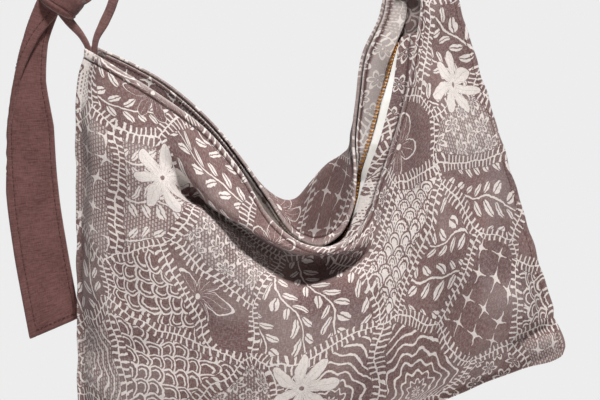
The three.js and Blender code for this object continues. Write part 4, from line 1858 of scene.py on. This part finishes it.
@dataclass
class Band:
    """A band of cloth along a route, with its own section at each place."""

    route: Sequence[Stop]
    steps: int
    columns: int
    density: int = 60

    def __post_init__(self) -> None:
        """Lays out the middle line, the ways across and out, and the sizes along it."""
        stops = np.array(self.route)
        spans = len(stops) - 1
        dense_places = np.linspace(0, spans, spans * self.density + 1)
        dense = Spline(stops[:, :3]).at(dense_places)
        reach = lengths_along(dense)
        self.length = float(reach[-1])
        self.along = np.linspace(0, self.length, self.steps)
        self.places = np.interp(self.along, reach, dense_places)
        self.centre = resample(dense, self.along)
        self.tangent = unit(np.gradient(self.centre, axis=0))
        turn, self.width, self.thickness = (self.column(stops[:, k]) for k in (3, 4, 5))
        flat = unit(np.cross(self.tangent, [0.0, 1.0, 0.0]))
        deep = unit(np.cross(flat, self.tangent))
        angle = np.radians(turn)[:, None]
        self.across = flat * np.cos(angle) + deep * np.sin(angle)
        self.normal = unit(np.cross(self.tangent, self.across))

    @property
    def share(self) -> Array:
        """Place of each column across the band, from -1 to 1, as one row."""
        return np.linspace(-1, 1, self.columns)[None, :]

    def column(self, values: Sequence[float]) -> Array:
        """A size given at each stop, at every step of the band."""
        return np.interp(self.places, np.arange(len(values)), values)

    def grid(
        self, aside: Array, out: Array, cloth: Array, thickness: Array, shift: Array | float = 0.0,
    ) -> ClothGrid:
        """The band's cloth.

        Args:
            aside: Distance across the band of each place, a row for each step.
            out: Distance out of the band's face of each place.
            cloth: Flat place across the cloth of each column.
            thickness: Thickness at each place.
            shift: Distance along the band by which each place moves.

        Returns:
            The grid.
        """
        points = self.centre[:, None] + self.across[:, None] * aside[..., None]
        points = points + self.normal[:, None] * out[..., None]
        points = points + self.tangent[:, None] * np.broadcast_to(shift, aside.shape)[..., None]
        flat = np.stack(np.broadcast_arrays(cloth, self.along[:, None]), axis=-1)
        return ClothGrid(points, thickness, flat.astype(float))


@dataclass
class ShoulderStrap:
    """The strap from the right peak over the top, gathered into pleats before the knot."""

    edge_stitch: float = 4.0
    pleats: float = 2.5
    pleat_depth: float = 3.0
    gather: float = 120.0
    first_stitch: int = 24
    groove: float = 0.5
    sway: Rumple = Rumple(seed=5, longest=130, shortest=30, height=0.9, count=10)

    def build(self, wardrobe: Wardrobe) -> bpy.types.Object:
        """Makes the strap with its edge stitching.

        Args:
            wardrobe: The finishes.

        Returns:
            The strap's cloth.
        """
        band = Band(STRAP_ROUTE, steps=420, columns=25)
        share = band.share
        gathered = smooth(band.along, band.length - self.gather, band.length)[:, None]
        aside = share * band.width[:, None] / 2
        ripple = np.sin(share * math.pi * self.pleats + 0.6) * self.pleat_depth * gathered
        sway = self.sway.at(aside, np.repeat(band.along[:, None], band.columns, axis=1))
        held = smooth(band.along, 12, 60)[:, None]
        edge = bell(np.abs(aside), band.width[:, None] / 2 - self.edge_stitch, 0.8)
        out = ripple + sway * held
        thickness = np.full(aside.shape, STRAP_CLOTH) - self.groove * edge
        cloth = share * STRAP_WIDTH / 2
        grid = band.grid(aside, out, cloth, thickness)
        strap = grid.build("shoulder_strap_cloth")
        wardrobe.dress(strap, wardrobe.plain, Slot.PLAIN, "shoulder_strap")
        sewn = Stitching()
        rows = np.arange(self.first_stitch, band.steps, dtype=float)
        for place in (self.edge_stitch, STRAP_WIDTH - self.edge_stitch):
            sewn.sew_through(grid, rows, np.full(len(rows), place / STRAP_WIDTH * (band.columns - 1)))
        thread = wardrobe.dress(sewn.build("shoulder_strap_stitching"), wardrobe.dark_thread, Slot.PLAIN)
        return strap


@dataclass
class StrapTail:
    """The strap's free end: folded over on itself under the knot and opening out flat."""

    flap: Sequence[float] = (20, 20, 11, 4.2, 2.4, 0, 0, 0)
    left_stitch: float = 6.0
    right_stitch: float = 3.4
    hem_stitch: float = 4.5
    slant: float = math.tan(math.radians(13))
    slant_reach: float = 70.0
    fold_gap: float = 1.4
    fold_rise: float = 0.1
    rumple: Rumple = Rumple(seed=9, longest=150, shortest=36, height=1.3, count=12)
    sewn_rows: tuple[int, int] = (4, -6)
    hem_ends: tuple[int, int] = (4, -7)
    hem_points: int = 40
    groove: float = 0.6
    softenings: int = 3

    def build(self, wardrobe: Wardrobe) -> bpy.types.Object:
        """Makes the tail with its stitching.

        Args:
            wardrobe: The finishes.

        Returns:
            The tail's cloth.
        """
        band = Band(TAIL_ROUTE, steps=320, columns=61)
        flap = band.column(self.flap)[:, None]
        width = band.width[:, None]
        whole = width + flap
        cloth = np.linspace(0, 1, band.columns)[None, :] * whole
        over = cloth - width
        aside = np.where(over < 0, width / 2 - cloth, -width / 2 + over)
        lift = (STRAP_CLOTH + self.fold_gap) * smooth(flap, 0.5, 8)
        out = np.where(over < 0, 0.0, lift + over * self.fold_rise)
        for _ in range(self.softenings):
            for values in (aside, out):
                values[:, 1:-1] = (values[:, :-2] + 2 * values[:, 1:-1] + values[:, 2:]) / 4
        out = out - lift / 2
        u = np.broadcast_to(cloth, aside.shape)
        v = np.broadcast_to(band.along[:, None], aside.shape)
        out = out + self.rumple.at(u, v) * smooth(v, 60, 140)
        reached = smooth(band.along, band.length - self.slant_reach, band.length)[:, None]
        shift = -aside * self.slant * reached
        groove = bell(cloth, self.right_stitch, 0.8) + bell(whole - cloth, self.left_stitch, 0.8)
        thickness = np.full(aside.shape, STRAP_CLOTH) - self.groove * groove
        grid = band.grid(aside, out, -(cloth - STRAP_WIDTH / 2), thickness, shift)
        tail = wardrobe.dress(grid.build("strap_tail_cloth"), wardrobe.plain, Slot.PLAIN, "strap_tail")
        sewn = Stitching()
        kept = slice(*self.sewn_rows)
        rows, sewn_width = np.arange(band.steps, dtype=float)[kept], whole[kept, 0]
        last = band.columns - 1
        for place in (np.full(len(rows), self.right_stitch), sewn_width - self.left_stitch):
            sewn.sew_through(grid, rows, place / sewn_width * last)
        hem = np.interp(band.length - self.hem_stitch, band.along, np.arange(band.steps))
        columns = np.linspace(self.hem_ends[0], last + self.hem_ends[1], self.hem_points)
        sewn.sew_through(grid, np.full(self.hem_points, hem), columns)
        thread = wardrobe.dress(sewn.build("strap_tail_stitching"), wardrobe.dark_thread, Slot.PLAIN)
        return tail


@dataclass
class Knot:
    """The strap tied round the corner loop: a pleated turn, the core under it and a lobe behind.

    rolled_edge and edge_dent are each a height, a place across the turn and a width.
    """

    centre: tuple[float, float, float] = (-175.6, -1.0, -278.7)
    axis: tuple[float, float, float] = (0.57, 0.0, 0.82)
    wide: float = 15.0
    deep: float = 12.0
    band: float = 22.0
    cloth: float = 4.2
    steps: int = 120
    columns: int = 33
    sheet_length: float = 0.13
    pleats: float = 2.2
    pleat_depth: float = 0.16
    rolled_edge: tuple[float, float, float] = (1.7, -0.86, 0.1)
    edge_dent: tuple[float, float, float] = (0.9, -0.62, 0.08)
    rim: float = 2.6
    belly: float = 1.4
    lean: float = 1.2

    def _turn(self) -> ClothGrid:
        """The wrapped turn as a closed band with rolled edges and soft pleats.

        Returns:
            The turn's grid.
        """
        axis = unit(np.array(self.axis))
        right = np.array([axis[2], 0.0, -axis[0]])
        angle = np.linspace(0, 2 * math.pi, self.steps, endpoint=False)[:, None]
        share = np.linspace(-1, 1, self.columns)[None, :]
        pleat = np.sin(share * math.pi * self.pleats + 0.9 * np.sin(angle)) * self.pleat_depth
        raised, dented = (high * bell(share, *spot) for high, *spot in (self.rolled_edge, self.edge_dent))
        roll = raised - dented - self.rim * np.abs(share) ** 6
        belly = self.belly * np.cos(share * math.pi / 2)
        swell = pleat + roll + belly
        lean = share * self.band / 2 + self.lean * np.sin(angle + 0.6)
        x = (self.wide + swell) * np.cos(angle)
        y = (self.deep + swell) * np.sin(angle)
        points = np.array(self.centre) + x[..., None] * right + y[..., None] * np.array([0.0, 1.0, 0.0])
        points = points + lean[..., None] * axis
        flat = np.stack(np.broadcast_arrays(share * STRAP_WIDTH / 2, angle * self.wide), axis=-1)
        return ClothGrid(points, np.full(x.shape, self.cloth), flat, closed=True)

    @staticmethod
    def _pleated(route: Sequence[Stop], steps: int, pleats: float, depth: float) -> ClothGrid:
        """A band of the knot gathered into pleats along its length.

        Args:
            route: The band's route.
            steps: How many steps it has.
            pleats: How many pleats it has.
            depth: How deep they are.

        Returns:
            The band's grid.
        """
        band = Band(route, steps, columns=27)
        share = band.share
        aside = share * (band.width[:, None] / 2 - 1)
        out = np.sin(share * math.pi * pleats + 0.4) * depth * np.ones((steps, 1))
        thickness = np.full(aside.shape, STRAP_CLOTH)
        return band.grid(aside, out, share * STRAP_WIDTH / 2, thickness)

    def build(self, wardrobe: Wardrobe) -> bpy.types.Object:
        """Makes the knot as one piece.

        Args:
            wardrobe: The finishes.

        Returns:
            The knot.
        """
        parts = [
            self._turn().build("strap_knot_cloth"),
            self._pleated(KNOT_CORE, steps=60, pleats=2.5, depth=2.6).build("knot_core"),
            self._pleated(KNOT_LOBE, steps=60, pleats=1.5, depth=0.9).build("knot_lobe"),
        ]
        first = parts[0]
        with bpy.context.temp_override(active_object=first, selected_editable_objects=parts, object=first):
            bpy.ops.object.join()
        knot = wardrobe.dress(first, wardrobe.plain, Slot.PLAIN, "strap_knot")
        return knot


@dataclass
class CornerLoop:
    """The narrow folded tape at the left corner.

    sheet_width, in metres, is not used.
    """

    sheet_width: float = 0.01

    def build(self, wardrobe: Wardrobe) -> bpy.types.Object:
        """Makes the loop with rounded edges and a sewn fold.

        Args:
            wardrobe: The finishes.

        Returns:
            The loop.
        """
        band = Band(CORNER_LOOP, steps=260, columns=15)
        share = band.share
        aside = share * (band.width[:, None] / 2 - 0.4)
        crown = 1 - 0.35 * np.abs(share) ** 3 - 0.22 * bell(share, 0.55, 0.14)
        thickness = band.thickness[:, None] * crown
        grid = band.grid(aside, np.zeros_like(aside), share * band.width.max() / 2, thickness)
        loop = wardrobe.dress(grid.build("corner_loop_tape"), wardrobe.loop, Slot.LOOP, "corner_loop")
        return loop


@dataclass
class Studio:
    """Camera, pale floor and room, and soft light."""

    aim: tuple[float, float, float] = (0.0255, 0.0, -0.4505)
    frame_width: float = 0.51
    distance: float = 4.0
    elevation: float = math.radians(1.0)
    sensor: float = 36.0
    floor: float = -0.7
    floor_radius: float = 1100.0
    floor_sides: int = 96
    room: float = 0.045
    room_colour: tuple = (1.0, 0.99, 0.98, 1.0)
    paper_colour: tuple = tone(237, 237, 237)

    def camera(self) -> None:
        """Places the camera level with the bag, with a long lens."""
        data = bpy.data.cameras.new("camera")
        data.sensor_width = self.sensor
        data.lens = self.sensor * self.distance / self.frame_width
        data.clip_end = 50
        back = Vector((0, -math.cos(self.elevation), math.sin(self.elevation)))
        place = Vector(self.aim) + back * self.distance
        bpy.context.scene.camera = self._aimed("camera", data, place, -back)

    @staticmethod
    def _aimed(name: str, data: bpy.types.ID, place: Sequence[float], way: Vector) -> bpy.types.Object:
        """Puts a camera or a lamp into the scene.

        Args:
            name: The new object's name.
            data: The camera or the lamp.
            place: Where it stands.
            way: The way it faces.

        Returns:
            The object.
        """
        made = put(name, data)
        made.location = place
        made.rotation_mode = "QUATERNION"
        made.rotation_quaternion = way.to_track_quat("-Z", "Y")
        return made

    def ground(self) -> None:
        """Makes the round floor under the bag."""
        angles = np.linspace(0, 2 * math.pi, self.floor_sides, endpoint=False)
        x, y = np.cos(angles) * self.floor_radius, np.sin(angles) * self.floor_radius
        rim = np.stack([x, y, np.full(self.floor_sides, self.floor / MM)], axis=1)
        disc = make_object("pale_floor", rim, [list(range(self.floor_sides))])
        disc.data.materials.append(PaleFloor().material())

    def lamp(self, name: str, place: Sequence[float], size: float, power: float) -> None:
        """Adds one soft square light that faces the bag.

        Args:
            name: The light's name.
            place: Where it stands.
            size: Its width.
            power: Its power in watts.
        """
        data = bpy.data.lights.new(name, "AREA")
        data.size = size
        data.energy = power
        self._aimed(name, data, place, Vector(self.aim) - Vector(place))

    def light(self) -> None:
        """Adds the pale room, a high key light, a low fill and a wide light on the back."""
        world = bpy.data.worlds.new("pale_room")
        pen = Pen(world)
        seen = pen.value("ShaderNodeLightPath", "Is Camera Ray")
        room, paper = (
            pen.node("ShaderNodeBackground", None, {"Color": colour, "Strength": strength}).outputs[0]
            for colour, strength in ((self.room_colour, self.room), (self.paper_colour, 1.0))
        )
        both = pen.node("ShaderNodeMixShader", None, {0: seen, 1: room, 2: paper})
        pen.node("ShaderNodeOutputWorld", None, {0: both.outputs[0]})
        bpy.context.scene.world = world
        self.lamp("key", (0.26, -1.0, 1.6), size=0.36, power=82)
        self.lamp("fill", (-1.5, -1.9, 0.1), size=1.4, power=1.2)
        self.lamp("back", (-0.5, 1.8, 0.6), size=1.6, power=24)
        bpy.context.scene.view_settings.view_transform = "Standard"


def main() -> None:
    """Builds the studio and the bag, piece by piece."""
    logging.basicConfig(level=logging.INFO, format="%(name)s %(message)s")
    studio = Studio()
    studio.camera()
    studio.ground()
    studio.light()
    wardrobe = Wardrobe()
    body = BodyShape()
    front, back = body.front(), body.back()
    pieces = [
        Panel("front_panel", front, FRONT_FOLDS, Rumple(seed=3, longest=120, shortest=24, height=1.5)),
        Panel(
            "back_panel", back, BACK_FOLDS, Rumple(seed=4, longest=120, shortest=24, height=1.5),
            # Back panel: fainter painted highlight on the hem, painted shade inside the mouth.
            hem_rub_and_painted_highlight=0.2, mouth_shade=0.8,
        ),
        Mouth(front, back),
        ZipSlider(),
        CornerLoop(),
        ShoulderStrap(),
        StrapTail(),
        Knot(),
    ]
    for piece in pieces:
        piece.build(wardrobe)
        LOG.info("%s made", type(piece).__name__)


if __name__ == "__main__":
    main()
